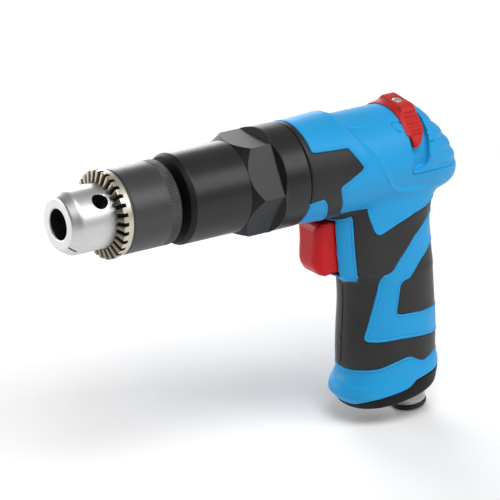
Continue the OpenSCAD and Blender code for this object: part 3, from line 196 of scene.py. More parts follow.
def rounded(points, radius=None, steps=4):
    """Closed outline with arcs at its corners. A third number of a point is its own radius."""
    out = []
    flat = np.array([p[:2] for p in points], float)
    for i, p in enumerate(points):
        b = flat[i]
        u, v = flat[i - 1] - b, flat[(i + 1) % len(flat)] - b
        reach = min(np.linalg.norm(u), np.linalg.norm(v)) * 0.48
        u, v = u / np.linalg.norm(u), v / np.linalg.norm(v)
        r = p[2] if len(p) > 2 else radius
        half = math.acos(np.clip(u @ v, -1, 1)) / 2
        if not r or half > 1.5:
            out.append(b)
            continue
        t = min(r / math.tan(half), reach)
        centre = b + (u + v) / np.linalg.norm(u + v) * t / math.cos(half)
        start, end = b + u * t - centre, b + v * t - centre
        sweep = math.pi - 2 * half
        for k in range(steps + 1):
            w = k / steps
            out.append(centre + (start * math.sin((1 - w) * sweep) + end * math.sin(w * sweep)) / math.sin(sweep))
    return np.array(out)


def side_turn(y, z):
    """Turn above the side, in degrees."""
    return np.degrees(np.arctan2(z, np.abs(y)))


def top_turn(y, z):
    """Turn away from the top, in degrees."""
    return np.degrees(np.arctan2(np.abs(y), z))


def past_ridge(d, y, z):
    """Place on the slope behind the ridge: 0 at its top, 1 at its foot."""
    turn = side_turn(y, z)
    over_shelf = (turn - curve(d, *SHELF)) * math.radians(FRONT_R)
    return soft_min(d - curve(turn, *RIDGE), over_shelf, RIDGE_BLEND) / curve(turn, *RIDGE_RUN)


def raised_front(d, y, z):
    """Height of the raised form above the plain barrel."""
    t = np.clip(past_ridge(d, y, z), 0, 1) ** RIDGE_POWER
    low = (FRONT_RISE - curve(side_turn(y, z), *RIDGE_STEP)) * curve(d, *RISE_FADE)
    return curve(d, *FRONT_ROUND) * (1 - t) + low * t


def dome_field(d, y, z):
    """Rear dome that droops over the hand."""
    s = (d - DOME_AT) / DOME_L
    top, bottom, half = (BARREL_R * curve(s, DOME_ROWS[:, 0], DOME_ROWS[:, k]) for k in (1, 2, 3))
    a = (top - bottom) / 2
    square = 2 + DOME_SQUARE * np.clip(s / DOME_SQUARE_BY, 0, 1)
    f = oval(np.abs(y) / half, np.abs(z - (top + bottom) / 2) / a, half, a, square)
    t = (z + RIB_DROOP * np.maximum(d - RIB_DROOP_AT, 0) - RIB_LOW) / RIB_STEP
    bulge = np.where((t > -0.5) & (t < RIB_COUNT - 0.5), np.abs(np.sin(np.pi * t)), 1)
    f = f + RIB_DEPTH * (1 - bulge) * np.clip((d - RIB_START) / RIB_FADE, 0, 1)
    return soft_max(f, d - DOME_AT - DOME_L, DOME_EDGE)


def grip_field(d, y, z):
    """Hand grip with a flared foot."""
    s = -z / GRIP_DROP
    front, rear, wide, square = (curve(s, GRIP_ROWS[:, 0], GRIP_ROWS[:, k]) for k in (1, 2, 3, 4))
    a, b = GRIP_DEPTH * (rear - front) / 2, GRIP_W * wide / 2
    f = oval(np.abs(d - GRIP_AT - GRIP_DEPTH * (front + rear) / 2) / a, np.abs(y) / b, a, b, square)
    return np.maximum(f, z + GRIP_START)


def foot_place(d, z):
    """Coordinates along and above the tilted foot plane."""
    x, h = GRIP_AT - d, z + FOOT_DROP
    return x * math.cos(FOOT_TILT) - h * math.sin(FOOT_TILT), x * math.sin(FOOT_TILT) + h * math.cos(FOOT_TILT)


def shell_field(p):
    """Outer form of the moulding, without its openings."""
    d, y, z = -p[:, 0], p[:, 1], p[:, 2]
    body = np.where(d < DOME_AT - 2, np.hypot(y, z) - BARREL_R, dome_field(d, y, z)) - raised_front(d, y, z)
    body = soft_max(body, BARREL_AT - d, FRONT_EDGE)
    f = soft_min(body, grip_field(d, y, z), GRIP_BLEND)
    return soft_max(f, -COVER_T - COVER_LOWER - foot_place(d, z)[1], COVER_EDGE)


def slot_field(d, y, z):
    """Room of the reverse lever: negative inside."""
    turn = top_turn(y, z)
    rear = curve(turn, *SLOT_REAR)
    across = np.abs(d - (SLOT_FRONT + rear) / 2) - (rear - SLOT_FRONT) / 2 + SLOT_CORNER
    beyond = np.radians(turn - SLOT_SPAN) * BARREL_R + SLOT_CORNER
    side = np.hypot(np.maximum(across, 0), np.maximum(beyond, 0)) + np.minimum(np.maximum(across, beyond), 0)
    return np.maximum(side - SLOT_CORNER, SLOT_FLOOR - np.hypot(y, z))


def room_field(d, y, z):
    """Bores and pockets inside the moulding: negative inside."""
    r = np.hypot(y, z)
    f = np.maximum(r - BORE_R, d - MOTOR_END)
    f = np.minimum(f, np.maximum(r - REVERSE_R, d - CAVITY_END))
    arm = [r - SLOT_FLOOR - ROOM_LAP, REVERSE_R - ROOM_LAP - r, np.abs(d - SLOT_AT) - ARM_HALF_L,
           (top_turn(y, z) - ARM_SPAN) * ARM_DEGREE]
    f = np.minimum(f, np.maximum.reduce(arm))
    chest = np.abs(d - POCKET_END - CHEST_IN) - CHEST_END + POCKET_END + CHEST_IN
    f = np.minimum(f, np.maximum(np.hypot(y, z - STEM_Z) - CHEST_R, chest))
    pocket = [np.abs(y) - TRIGGER_W / 2 - TRIGGER_PLAY,
            np.abs(z + TRIGGER_TOP + TRIGGER_H / 2) - TRIGGER_H / 2 - TRIGGER_PLAY, d - POCKET_END]
    return np.minimum(f, np.maximum.reduce(pocket))


def housing_field(p):
    """Moulding with its slot and rooms."""
    d, y, z = -p[:, 0], p[:, 1], p[:, 2]
    f = soft_max(shell_field(p), -slot_field(d, y, z), SLOT_EDGE)
    return soft_max(f, -room_field(d, y, z), ROOM_EDGE)


# Meshes from fields
def gradient(field, p, e=0.02):
    """Slope of a field at points, from values a small step e either way."""
    return np.stack([(field(p + step) - field(p - step)) / (2 * e) for step in e * np.eye(3)], 1)


def normals(field, p):
    """Unit normals of a field at points."""
    g = gradient(field, p)
    return g / np.linalg.norm(g, axis=1, keepdims=True)


def pull(field, p, rounds=3, flattest=0.05, longest=0.6):
    """Moves points onto the zero surface of a field, in moves of a limited length."""
    for _ in range(rounds):
        g = gradient(field, p)
        move = field(p)[:, None] * g / np.maximum((g * g).sum(1), flattest)[:, None]
        far = np.linalg.norm(move, axis=1, keepdims=True)
        p = p - move * np.minimum(1, longest / np.maximum(far, 1e-9))
    return p


def net(field, low, high, step):
    """Quads over the zero surface of a field, with a point in each cell of a grid around it that it crosses."""
    axes = [np.arange(a, b + step, step) for a, b in zip(low, high)]
    grid = np.stack(np.meshgrid(*axes, indexing="ij"), axis=-1)
    value = field(grid.reshape(-1, 3)).reshape(grid.shape[:3])
    cells = tuple(n - 1 for n in value.shape)
    total, count = np.zeros(cells + (3,)), np.zeros(cells)
    crossings = []
    for axis in range(3):
        va, vb = (np.take(value, np.arange(cells[axis]) + k, axis) for k in (0, 1))
        cross = (va < 0) != (vb < 0)
        share = np.where(cross, va / np.where(cross, va - vb, 1), 0)
        place = np.moveaxis(np.indices(va.shape, float), 0, -1)
        place[..., axis] += share
        u, v = [k for k in range(3) if k != axis]
        for du in (slice(0, -1), slice(1, None)):
            for dv in (slice(0, -1), slice(1, None)):
                pick = [slice(None)] * 3
                pick[u], pick[v] = du, dv
                hit = cross[tuple(pick)]
                total += np.where(hit[..., None], place[tuple(pick)], 0)
                count += hit
        crossings.append((cross, va < 0, u, v))
    used = count > 0
    index = np.full(cells, -1)
    index[used] = np.arange(used.sum())
    points = np.asarray(low) + step * total[used] / count[used][:, None]
    quads = []
    for axis, (cross, below, u, v) in enumerate(crossings):
        at = np.argwhere(cross)
        ring = []
        for du, dv in ((1, 1), (0, 1), (0, 0), (1, 0)):
            cell = at.copy()
            cell[:, u] -= du
            cell[:, v] -= dv
            ring.append(index[tuple(cell.T)])
        quad = np.stack(ring, axis=1)
        flip = below[tuple(at.T)] == (axis == 1)
        quad[flip] = quad[flip][:, ::-1]
        quads.append(quad)
    return points, np.concatenate(quads)


def relax(points, quads, field, rounds=2):
    """Evens out the net, keeping it on the surface."""
    edges = np.concatenate([quads[:, [k, (k + 1) % 4]] for k in range(4)])
    for _ in range(rounds):
        total = np.stack([np.bincount(edges[:, 0], points[edges[:, 1], k], len(points)) for k in range(3)], 1)
        count = np.bincount(edges[:, 0], minlength=len(points))
        points = pull(field, points + 0.5 * (total / np.maximum(count, 1)[:, None] - points), 2)
    return points


def field_mesh(field, low, high, step, rounds=2):
    """Even quads on the zero surface of a field, from a grid between two corners."""
    points, quads = net(field, low, high, step)
    return relax(pull(field, points), quads, field, rounds), quads


def triangles(quads):
    """Each quad as two triangles."""
    return np.concatenate([quads[:, [0, 1, 2]], quads[:, [0, 2, 3]]])


def edges_of(tris):
    """Directed edges of triangles."""
    return np.concatenate([tris[:, [0, 1]], tris[:, [1, 2]], tris[:, [2, 0]]])


def between(values, edges, share):
    """Values part of the way along edges."""
    return values[edges[:, 0]] * (1 - share) + values[edges[:, 1]] * share


def rolled(tris, start):
    """Triangles that begin with another of their corners."""
    return tris[np.arange(len(tris))[:, None], (start[:, None] + np.arange(3)) % 3]


def cut(points, data, tris, column, level, snap=0.2):
    """Splits triangles along a level of one column of the point data. Near points move onto the level."""
    value = data[:, column] - level
    edges = np.unique(np.sort(edges_of(tris), axis=1), axis=0)
    e = edges[value[edges[:, 0]] * value[edges[:, 1]] < 0]
    if not len(e):
        return points, data, tris
    t = value[e[:, 0]] / (value[e[:, 0]] - value[e[:, 1]])
    near = np.minimum(t, 1 - t)
    order = np.argsort(-near)
    order = order[near[order] < snap]
    ids = np.where(t[order] < 0.5, e[order, 0], e[order, 1])
    w = t[order][:, None]
    moved, told = between(points, e[order], w), between(data, e[order], w)
    points, data, value = points.copy(), data.copy(), value.copy()
    points[ids], data[ids], value[ids] = moved, told, 0
    data[ids, column] = level
    e = edges[value[edges[:, 0]] * value[edges[:, 1]] < 0]
    w = (value[e[:, 0]] / (value[e[:, 0]] - value[e[:, 1]]))[:, None]
    fresh = between(data, e, w)
    fresh[:, column] = level
    n = len(points)
    points = np.concatenate([points, between(points, e, w)])
    data = np.concatenate([data, fresh])
    keys = e[:, 0] * n + e[:, 1]

    def middle(a, b):
        return n + np.searchsorted(keys, np.minimum(a, b) * n + np.maximum(a, b))

    sign = np.sign(value)[tris]
    split = (sign.min(1) < 0) & (sign.max(1) > 0)
    out = [tris[~split]]
    some, mark = tris[split], sign[split]
    on_line = (mark == 0).any(1)
    a = some[on_line]
    if len(a):
        a = rolled(a, np.argmax(mark[on_line] == 0, axis=1))
        m = middle(a[:, 1], a[:, 2])
        out += [np.stack([a[:, 0], a[:, 1], m], 1), np.stack([a[:, 0], m, a[:, 2]], 1)]
    b = some[~on_line]
    if len(b):
        b = rolled(b, np.argmax(mark[~on_line] == -np.sign(mark[~on_line].sum(1))[:, None], axis=1))
        m, k = middle(b[:, 0], b[:, 1]), middle(b[:, 0], b[:, 2])
        out += [np.stack([b[:, 0], m, k], 1), np.stack([m, b[:, 1], b[:, 2]], 1), np.stack([m, b[:, 2], k], 1)]
    return points, data, np.concatenate(out)


def border(tris, others):
    """Directed edges of some triangles whose other side belongs to others."""
    mine, theirs = edges_of(tris), edges_of(others)
    big = max(tris.max(), others.max()) + 1
    return mine[np.isin(mine[:, 0] * big + mine[:, 1], theirs[:, 1] * big + theirs[:, 0])]


def strip(edge, n):
    """Wall of triangles from directed edges to the same edges n points later."""
    a, b = edge[:, 0], edge[:, 1]
    return np.concatenate([np.stack([b, a, a + n], 1), np.stack([b, a + n, b + n], 1)])


def pairs(a, b):
    """Every value of one list with every value of another."""
    return (v.ravel() for v in np.meshgrid(a, b, indexing="ij"))


def ring_quads(rows, turns):
    """Quads between rings of points that follow each other, the last joined to the first."""
    i, j = pairs(np.arange(rows), np.arange(turns))
    k, m = (i + 1) % rows, (j + 1) % turns
    return np.stack([i * turns + j, k * turns + j, k * turns + m, i * turns + m], 1)


def turned(profile, turns, place):
    """Closed solid turned from a closed profile of radius and station, put where place says."""
    phi = np.arange(turns) * 2 * np.pi / turns
    points = np.concatenate([place(np.full(turns, r), phi, np.full(turns, s)) for r, s in profile])
    return points, ring_quads(len(profile), turns)


def on_spindle(r, phi, s):
    """Points round the spindle axis, with stations counted backward."""
    return np.stack([-s, r * np.sin(phi), r * np.cos(phi)], 1)


def from_foot(x, y, h):
    """Points from places along, across and above the tilted foot plane."""
    c, s = math.cos(FOOT_TILT), math.sin(FOOT_TILT)
    return np.stack([x * c + h * s - GRIP_AT, y, h * c - x * s - FOOT_DROP], 1)


def on_inlet(r, phi, h):
    """Points round the inlet's axis, with stations counted up from the foot plane."""
    return from_foot(r * np.cos(phi) - INLET_BACK, r * np.sin(phi), h)


# Materials
GRAIN_H = 0.0002


def feed(tree, node, **inputs):
    """Sets the inputs of a node to values, or links them to outputs of other nodes."""
    for key, v in inputs.items():
        socket = node.inputs[key.replace("_", " ")]
        if isinstance(v, bpy.types.NodeSocket):
            tree.links.new(v, socket)
        else:
            socket.default_value = v
    return node


def add(tree, kind, **inputs):
    """New node with these inputs."""
    return feed(tree, tree.nodes.new("ShaderNode" + kind), **inputs)


def ranged(tree, value, low, high, start=0.3, end=0.7):
    """Value stretched from start and end to low and high."""
    node = add(tree, "MapRange", Value=value, From_Min=start, From_Max=end, To_Min=low, To_Max=high)
    return node.outputs["Result"]


def finish(name, dark, light, rough, patch=60, grain=900, bump=0.05, metal=0, shine=0.5, stretch=None, **sockets):
    """Material with mottled colour and roughness and a fine grain. stretch scales the grain along x, y and z."""
    mat = bpy.data.materials.new(name)
    mat.use_nodes = True
    tree = mat.node_tree
    where = add(tree, "TexCoord").outputs["Object"]
    fine = add(tree, "Mapping", Vector=where, Scale=stretch).outputs["Vector"] if stretch else where
    mottle = add(tree, "TexNoise", Vector=where, Scale=patch, Detail=3.0).outputs["Fac"]
    texture = add(tree, "TexNoise", Vector=fine, Scale=grain, Detail=3.0).outputs["Fac"]
    mix = add(tree, "Mix")
    mix.data_type = "RGBA"
    mix.inputs[6].default_value, mix.inputs[7].default_value = (*dark, 1), (*light, 1)
    tree.links.new(ranged(tree, mottle, 0, 1), mix.inputs[0])
    relief = add(tree, "Bump", Height=texture, Strength=bump, Distance=GRAIN_H)
    feed(tree, tree.nodes["Principled BSDF"], Base_Color=mix.outputs[2], Roughness=ranged(tree, texture, *rough),
         Normal=relief.outputs["Normal"], Metallic=metal, Specular_IOR_Level=shine, **sockets)
    return mat


# Stretch of the grain into fine lines round a turned piece
LINES = (12.0, 0.6, 0.6)
LATHE = {"grain": 300, "bump": 0.1, "metal": 1, "stretch": LINES}
LOOKS = {
    "nose_steel": finish("turned_steel", (0.6, 0.6, 0.59), (0.67, 0.67, 0.66), (0.38, 0.46), grain=260, bump=0.04,
        metal=1, stretch=LINES),
    "sleeve_steel": finish("sleeve_steel", (0.03, 0.03, 0.032), (0.038, 0.038, 0.04), (0.36, 0.44), grain=260,
        bump=0.08, stretch=LINES),
    "black_metal": finish("black_oxide", (0.013, 0.013, 0.0132), (0.017, 0.017, 0.0173), (0.3, 0.38), grain=1400,
        bump=0.06, shine=0.34),
    "machined_steel": finish("machined_steel", (0.5, 0.5, 0.51), (0.62, 0.62, 0.62), (0.26, 0.4), **LATHE),
    "dark_fastener": finish("dark_fastener", (0.05, 0.05, 0.052), (0.09, 0.09, 0.09), (0.35, 0.5), metal=0.9),
    "vane_composite": finish("vane_composite", (0.28, 0.17, 0.09), (0.4, 0.25, 0.14), (0.5, 0.7), grain=1600),
    "brass": finish("brass", (0.6, 0.45, 0.2), (0.72, 0.56, 0.27), (0.28, 0.42), **LATHE),
    "blue_plastic": finish("blue_plastic", (0.015, 0.305, 0.635), (0.018, 0.325, 0.675), (0.38, 0.46), patch=25,
        grain=1800, shine=0.2),
    "black_rubber": finish("black_rubber", (0.01, 0.01, 0.01), (0.014, 0.014, 0.014), (0.44, 0.54), grain=2600,
        bump=0.12, shine=0.4, Sheen_Weight=0.3, Sheen_Roughness=0.25),
    "red_plastic": finish("red_plastic", (0.46, 0.016, 0.014), (0.52, 0.022, 0.018), (0.36, 0.46), grain=1800,
        shine=0.18),
    "nickel": finish("nickel", (0.38, 0.37, 0.34), (0.46, 0.45, 0.42), (0.2, 0.3), grain=260, bump=0.08, metal=1),
    "black_plastic": finish("black_plastic", (0.006, 0.006, 0.007), (0.009, 0.009, 0.01), (0.45, 0.58), grain=1800,
        bump=0.12, shine=0.15),
    "felt": finish("felt", (0.55, 0.53, 0.48), (0.72, 0.7, 0.64), (0.85, 1.0), grain=2200, bump=0.6),
}
TRIGGER_RED = finish("trigger_red", (0.49, 0.002, 0.004), (0.55, 0.004, 0.006), (0.28, 0.34), grain=1500,
        bump=0.02, shine=0.22)
TOOTH_STEEL = finish("tooth_rim", (0.58, 0.52, 0.43), (0.7, 0.63, 0.53), (0.34, 0.44), grain=500, bump=0.08, metal=1)
LAND_STEEL = finish("tooth_land", (0.22, 0.19, 0.15), (0.3, 0.26, 0.21), (0.36, 0.46), grain=500, bump=0.08, metal=1)
# Darker blue that paints shade into the pressed lines
PRESSED_LINE_SHADE = finish("pressed_line_shade", (0.01, 0.21, 0.5), (0.012, 0.23, 0.54), (0.5, 0.6), patch=25, grain=1800, shine=0.1)
# Near-black material that paints shade onto the case chamfer, collar cone and crescents, chuck bore, key holes, slit,
# tooth gaps and grip seam
PAINTED_SHADE = finish("painted_recess_shade", (0.006, 0.006, 0.006), (0.009, 0.009, 0.009), (0.45, 0.6), shine=0.2)

# Looks of the nodes that no piece replaces, other than machined steel
NODE_LOOK = {
    "inlet_seal": "black_rubber", "muffler_felt": "felt", "rotor_vanes": "vane_composite", "reverse_valve": "brass",
    "inlet_screen": "brass", "valve_seat": "brass", "chuck_screw": "dark_fastener", "spindle": "dark_fastener",
    "bearing_circlip": "dark_fastener"}
for node_name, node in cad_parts.items():
    node.data.materials.clear()
    node.data.materials.append(LOOKS[NODE_LOOK.get(node_name, "machined_steel")])


# Pieces
def piece(name, points, faces, slot, nodes, body="drill_body", look=None, sharp=32):
    """Mesh piece from points in millimetres, riding a body and standing for CAD nodes."""
    mesh = bpy.data.meshes.new(name)
    mesh.from_pydata((np.asarray(points) * MM).tolist(), [], np.asarray(faces).tolist())
    mesh.validate()
    mesh.polygons.foreach_set("use_smooth", np.ones(len(mesh.polygons), bool))
    mesh.set_sharp_from_angle(angle=math.radians(sharp))
    mesh.materials.append(look or LOOKS[slot])
    obj = bpy.data.objects.new(name, mesh)
    bpy.context.scene.collection.objects.link(obj)
    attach(obj, body)
    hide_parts(*nodes)
    return obj


def paint(obj, numbers, *looks):
    """Gives a piece further materials, and its first faces these material numbers."""
    for look in looks:
        obj.data.materials.append(look)
    index = np.zeros(len(obj.data.polygons), int)
    count = min(len(index), len(numbers))
    index[:count] = numbers[:count]
    obj.data.polygons.foreach_set("material_index", index)


def compact(points, faces):
    """Drops the points that no face uses."""
    used = np.unique(faces)
    index = np.zeros(len(points), int)
    index[used] = np.arange(len(used))
    return points[used], index[faces]


# Blue moulding, its rubber and the foot cover share one outer form
COVER_LINE = ([130, 136.4, 137.7, 140.3, 147.8, 157.2, 158.8, 160.8, 162.5, 171, 186],
        [-106, -105.1, -103.8, -102.4, -100.7, -99, -98.1, -96.5, -96, -95.1, -94])
# Rise across an edge by distance from it: recess lip, pressed line, ridge, rubber, foot and seam
LIP = ([0, 0.12, 0.3, 0.6, 0.9, 1.1, 1.3, 1.6], [-0.3, 0, 0.14, 0.18, 0.1, -0.14, -0.14, 0])
LINE = ([0.2, 0.5], [-0.35, 0])
BEAD = ([-0.6, -0.25, 0, 0.35, 1], [0, 0.2, 0.34, 0.08, 0])
PAD = ([-0.7, -0.35, -0.12, 0], [-0.14, -0.17, -0.26, -0.45])
FOOT_EDGE = ([0, 0.15, 0.45, 0.9], [-0.45, -0.18, -0.05, 0])
SEAM = ([0.15, 0.4], [-0.3, 0])
BEAD_FADE = ([158, 170], [1, 0])
SEAM_TOP, SEAM_END, SEAM_BACK, SEAM_SPOTS, SPOT_R = -53, -88, 145, (-76.6, -85.8), 0.6
RECESS, PAD_GAP, SKIN, RUBBER_ROUND, MARK_HALF_W, NUDGE, FAR = 1.6, 0.1, -0.8, 1.1, 0.3, 0.05, 9.0
# Columns of the values that the moulding's points carry
RUB, OUT, FOOT, SLOPE, PRESS, DEPTH, PART = range(7)


def rubber_field(d, z):
    """Negative where rubber covers the moulding, seen from the side."""
    outlines = [[(GRIP_AT + p[0] * GRIP_DEPTH, -p[1] * GRIP_DROP, *p[2:]) for p in shares]
            for shares in (RUBBER_MAIN, RUBBER_REAR)]
    outlines.append([(BARREL_AT + a * FRONT_L, b * FRONT_R) for a, b in RUBBER_FRONT])
    return np.minimum.reduce([outline(rounded(corners, RUBBER_ROUND, 3), d, z) for corners in outlines])


def line_field(d, y, z):
    """Distance to the pressed lines, negative on one side of them, and how deep they are there."""
    turn, arc = side_turn(y, z), math.radians(BARREL_R)
    best, depth = np.full(d.shape, FAR), np.ones(d.shape)
    for line in (PANEL, CREASE, TURN_MARK, DIMPLE):
        for (d0, t0), (d1, t1) in zip(line[:-1], line[1:]):
            e, f = d1 - d0, (t1 - t0) * arc
            p, q = d - d0, (turn - t0) * arc
            t = np.clip((p * e + q * f) / (e * e + f * f), 0, 1)
            far = np.hypot(p - e * t, q - f * t)
            closer = far < np.abs(best)
            faded = np.clip((CREASE_END - d) / CREASE_FADE, CREASE_LEAST, 1) if line is CREASE else 1
            depth = np.where(closer, faded, depth)
            best = np.where(closer, np.where(p * f > q * e, far, -far), best)
    return best, depth


def seam_field(d, y, z):
    """Distance to the parting line down the front of the grip, with two round marks on it, negative on one side."""
    far = np.abs(y)
    for spot in SEAM_SPOTS:
        far = np.minimum(far, np.maximum(np.hypot(y, z - spot) - SPOT_R, 0))
    return np.where((d < SEAM_BACK) & (z < SEAM_TOP) & (z > SEAM_END), np.where(y < 0, -far, far), FAR)


def mirrored(levels):
    """Levels on both sides of a line."""
    return [-v for v in levels] + list(levels)


def make_housing():
    """Blue moulding and its rubber, from one mesh that is cut along the outlines and lines."""
    points, quads = field_mesh(housing_field, (-190, -24, -112), (-102.5, 24, 25), 0.88)
    tris = triangles(quads)
    d, y, z = -points[:, 0], points[:, 1], points[:, 2]
    rub = rubber_field(d, z)
    slope = np.stack([(rubber_field(d - NUDGE, z) - rub) / NUDGE, np.zeros_like(d),
            (rubber_field(d, z + NUDGE) - rub) / NUDGE], 1)
    lean = np.sqrt(np.clip(1 - (slope * normals(housing_field, points)).sum(1) ** 2, 0.2, 1))
    data = np.stack([rub / lean, shell_field(points), z - curve(d, *COVER_LINE), past_ridge(d, y, z),
            *line_field(d, y, z), seam_field(d, y, z)], 1)
    for column, levels in ((OUT, [SKIN]), (FOOT, FOOT_EDGE[0]), (SLOPE, BEAD[0]), (PRESS, mirrored(LINE[0])),
            (PART, mirrored(SEAM[0])), (RUB, PAD[0][:-1] + LIP[0])):
        for level in levels:
            points, data, tris = cut(points, data, tris, column, level)
    normal = normals(housing_field, points)
    tris = tris[data[tris].mean(axis=1)[:, FOOT] > 0]
    middle = data[tris].mean(axis=1)
    black = (middle[:, RUB] < 0) & (middle[:, OUT] > SKIN)
    rise = np.interp(data[:, RUB], *LIP) + data[:, DEPTH] * np.interp(np.abs(data[:, PRESS]), *LINE)
    rise += np.interp(data[:, SLOPE], *BEAD) * curve(-points[:, 0], *BEAD_FADE)
    rise = np.where(data[:, OUT] > SKIN, rise, 0) + np.interp(data[:, FOOT], *FOOT_EDGE)
    n = len(points)
    blue_tris, black_tris = tris[~black], tris[black]
    every = np.concatenate([blue_tris, black_tris + n, strip(border(blue_tris, black_tris), n)])
    flat = np.concatenate([points + normal * rise[:, None], points - normal * RECESS])
    lone, big = edges_of(every), len(flat)
    lone = lone[~np.isin(lone[:, 0] * big + lone[:, 1], lone[:, 1] * big + lone[:, 0])]
    flat = np.concatenate([flat, flat[np.unique(lone)].mean(axis=0, keepdims=True)])
    cap = np.stack([lone[:, 1], lone[:, 0], np.full(len(lone), big)], 1)
    shell = piece("housing_shell", *compact(flat, np.concatenate([every, cap])), "blue_plastic", ["housing"], sharp=50)
    # Painted shade: faces along the pressed lines get the darker blue
    pressed = (np.abs(middle[:, PRESS]) < MARK_HALF_W) & (middle[:, DEPTH] > 0.95) & (middle[:, OUT] > SKIN)
    paint(shell, pressed[~black], PRESSED_LINE_SHADE)
    face = points + normal * (np.interp(data[:, RUB], *PAD) + np.interp(np.abs(data[:, PART]), *SEAM))[:, None]
    under = points - normal * (RECESS - PAD_GAP)
    every = np.concatenate([black_tris, black_tris[:, ::-1] + n, strip(border(black_tris, blue_tris), n)])
    rubber = piece("grip_rubber", *compact(np.concatenate([face, under]), every), "black_rubber",
            ["grip_overmould"], sharp=50)
    # Painted shade: the parting line down the grip and its two round marks get the near-black material
    paint(rubber, np.abs(middle[black, PART]) < MARK_HALF_W, PAINTED_SHADE)


make_housing()

# Foot cover
COVER_INSET, COVER_GAP, INLET_HOLE_R = 0.15, 0.25, 7.9
COVER_SEAT_R, SCREW_BACK, SCREW_SIDE, SCREW_DEEP = 2.7, 1.5, 11.5, 0.6
VENTS, VENT_STEP, VENT_HALF_W, VENT_HALF_L = 5, 3.2, 0.8, 4.5


def cover_field(p):
    """Exhaust cover under the foot, with slots, screw seats and the inlet hole."""
    d, y, z = -p[:, 0], p[:, 1], p[:, 2]
    x = foot_place(d, z)[0]
    f = soft_max(shell_field(p) + COVER_INSET, z - curve(d, *COVER_LINE) + COVER_GAP, 0.7)
    f = soft_max(f, INLET_HOLE_R - np.hypot(x + INLET_BACK, y), 0.6)
    for side in (-1, 1):
        f = soft_max(f, COVER_SEAT_R - np.hypot(x + SCREW_BACK, y - side * SCREW_SIDE), 0.5)
    for i in range(VENTS):
        away = np.abs(x - MUFFLER_FRONT - (i - VENTS // 2) * VENT_STEP)
        f = soft_max(f, -np.maximum(away - VENT_HALF_W, np.abs(y) - VENT_HALF_L), 0.5)
    return f


piece("exhaust_cover", *field_mesh(cover_field, (-186, -20, -110), (-128, 20, -93), 0.5, 1), "black_plastic",
      ["bottom_cover"], sharp=50)

# Thumb lever: wing height and bevel by turn from its middle, front and rear edge by distance along its rim
LEVER_INNER, LEVER_TOP, LEVER_REST, RIDE_R, LEVER_TIP = 17.3, 22.0, 7.0, 19.75, 22.8
LEVER_SCREW_AT, LEVER_SEAT_R, LEVER_SEAT_DEEP, LEVER_SCREW_DEEP = 159.5, 2.4, 1.5, 0.3
LEVER_WING = ([0, 16.7, 21, 27, 45, 66], [23, 22.95, 21.7, 20.95, 20.45, 20.15])
LEVER_BEVEL, BEVEL_H = ([0, 22, 46, 51], [2.4, 2.4, 2.2, 0]), 1.6
LEVER_FRONT = ([0, 16.9, 18, 19, 21, 22.2, 22.8], [153.7, 153.8, 155.6, 155.8, 156.3, 157, 157.9])
LEVER_REAR = ([0, 5, 12, 15, 17.1, 19, 21, 22.7], [163, 163.2, 163.3, 163, 162.3, 161.2, 159.9, 158.1])
LEVER_FOOT_GAP, LEVER_FOOT_END, LEVER_DRAFT = 0.3, 162.4, 0.85
GROOVE_FROM, GROOVE_TO, GROOVE_STEP, GROOVE_DEPTH, GROOVE_HALF_W = 16.25, 52, 4.5, 0.42, 0.5
GROOVE_FRONT, GROOVE_FADE = 155.7, 0.9


def lever_field(p):
    """Thumb lever: flat-topped crown, grooved wings that narrow to round tips, and a foot that runs in the slot."""
    d, y, z = -p[:, 0], p[:, 1], p[:, 2]
    r = np.hypot(y, z)
    lean = np.arctan2(y, z) - math.radians(LEVER_REST)
    turn = np.degrees(np.abs(lean))
    along = np.radians(turn) * RIDE_R
    u, v = r * np.sin(lean), r * np.cos(lean)
    groove = np.abs(np.mod(turn - GROOVE_FROM, GROOVE_STEP) - GROOVE_STEP / 2) * math.radians(RIDE_R)
    groove = GROOVE_DEPTH * np.clip(1 - groove / GROOVE_HALF_W, 0, 1) * ((turn > GROOVE_FROM) & (turn < GROOVE_TO))
    groove = groove * np.clip((d - GROOVE_FRONT) / GROOVE_FADE, 0, 1)
    top = soft_max(r - curve(turn, *LEVER_WING), v - LEVER_TOP, 0.6) + groove
    front = curve(along, *LEVER_FRONT) + np.clip((r - RIDE_R) / BEVEL_H, 0, 1) * curve(turn, *LEVER_BEVEL)
    rear = curve(along, *LEVER_REAR)
    low = r < RIDE_R
    front = np.where(low, np.maximum(front, SLOT_FRONT + LEVER_FOOT_GAP), front)
    rear = np.where(low, np.minimum(rear, LEVER_FOOT_END), rear)
    plan = soft_max(soft_max(front - d, d - rear, 1.2), along - LEVER_TIP, 1.2)
    f = soft_max(soft_max(top, plan * LEVER_DRAFT, 0.7), LEVER_INNER - r, 0.4)
    seat = np.maximum(np.hypot(d - LEVER_SCREW_AT, u) - LEVER_SEAT_R, LEVER_TOP - LEVER_SEAT_DEEP - v)
    return soft_max(f, -seat, 0.3)


piece("thumb_lever", *field_mesh(lever_field, (-166, -23, 3), (-150, 23, 25), 0.35, 1), "red_plastic",
      ["reverse_lever"], body="reverse_lever", sharp=50)


def cross_screw(radius, height, dome, slot, depth, under=1.2):
    """Field of a screw head that points up, with a cross recess."""
    def field(p):
        x, y, z = p.T
        r = np.hypot(x, y)
        f = soft_max(r - radius, z - height + dome * (r / radius) ** 2, 0.4)
        f = soft_max(f, -z - under, 0.2)
        for a, b in ((x, y), (y, x)):
            f = soft_max(f, -np.maximum.reduce([np.abs(a) - slot * 2, np.abs(b) - slot / 2, height - depth - z]), 0.15)
        return f
    return field


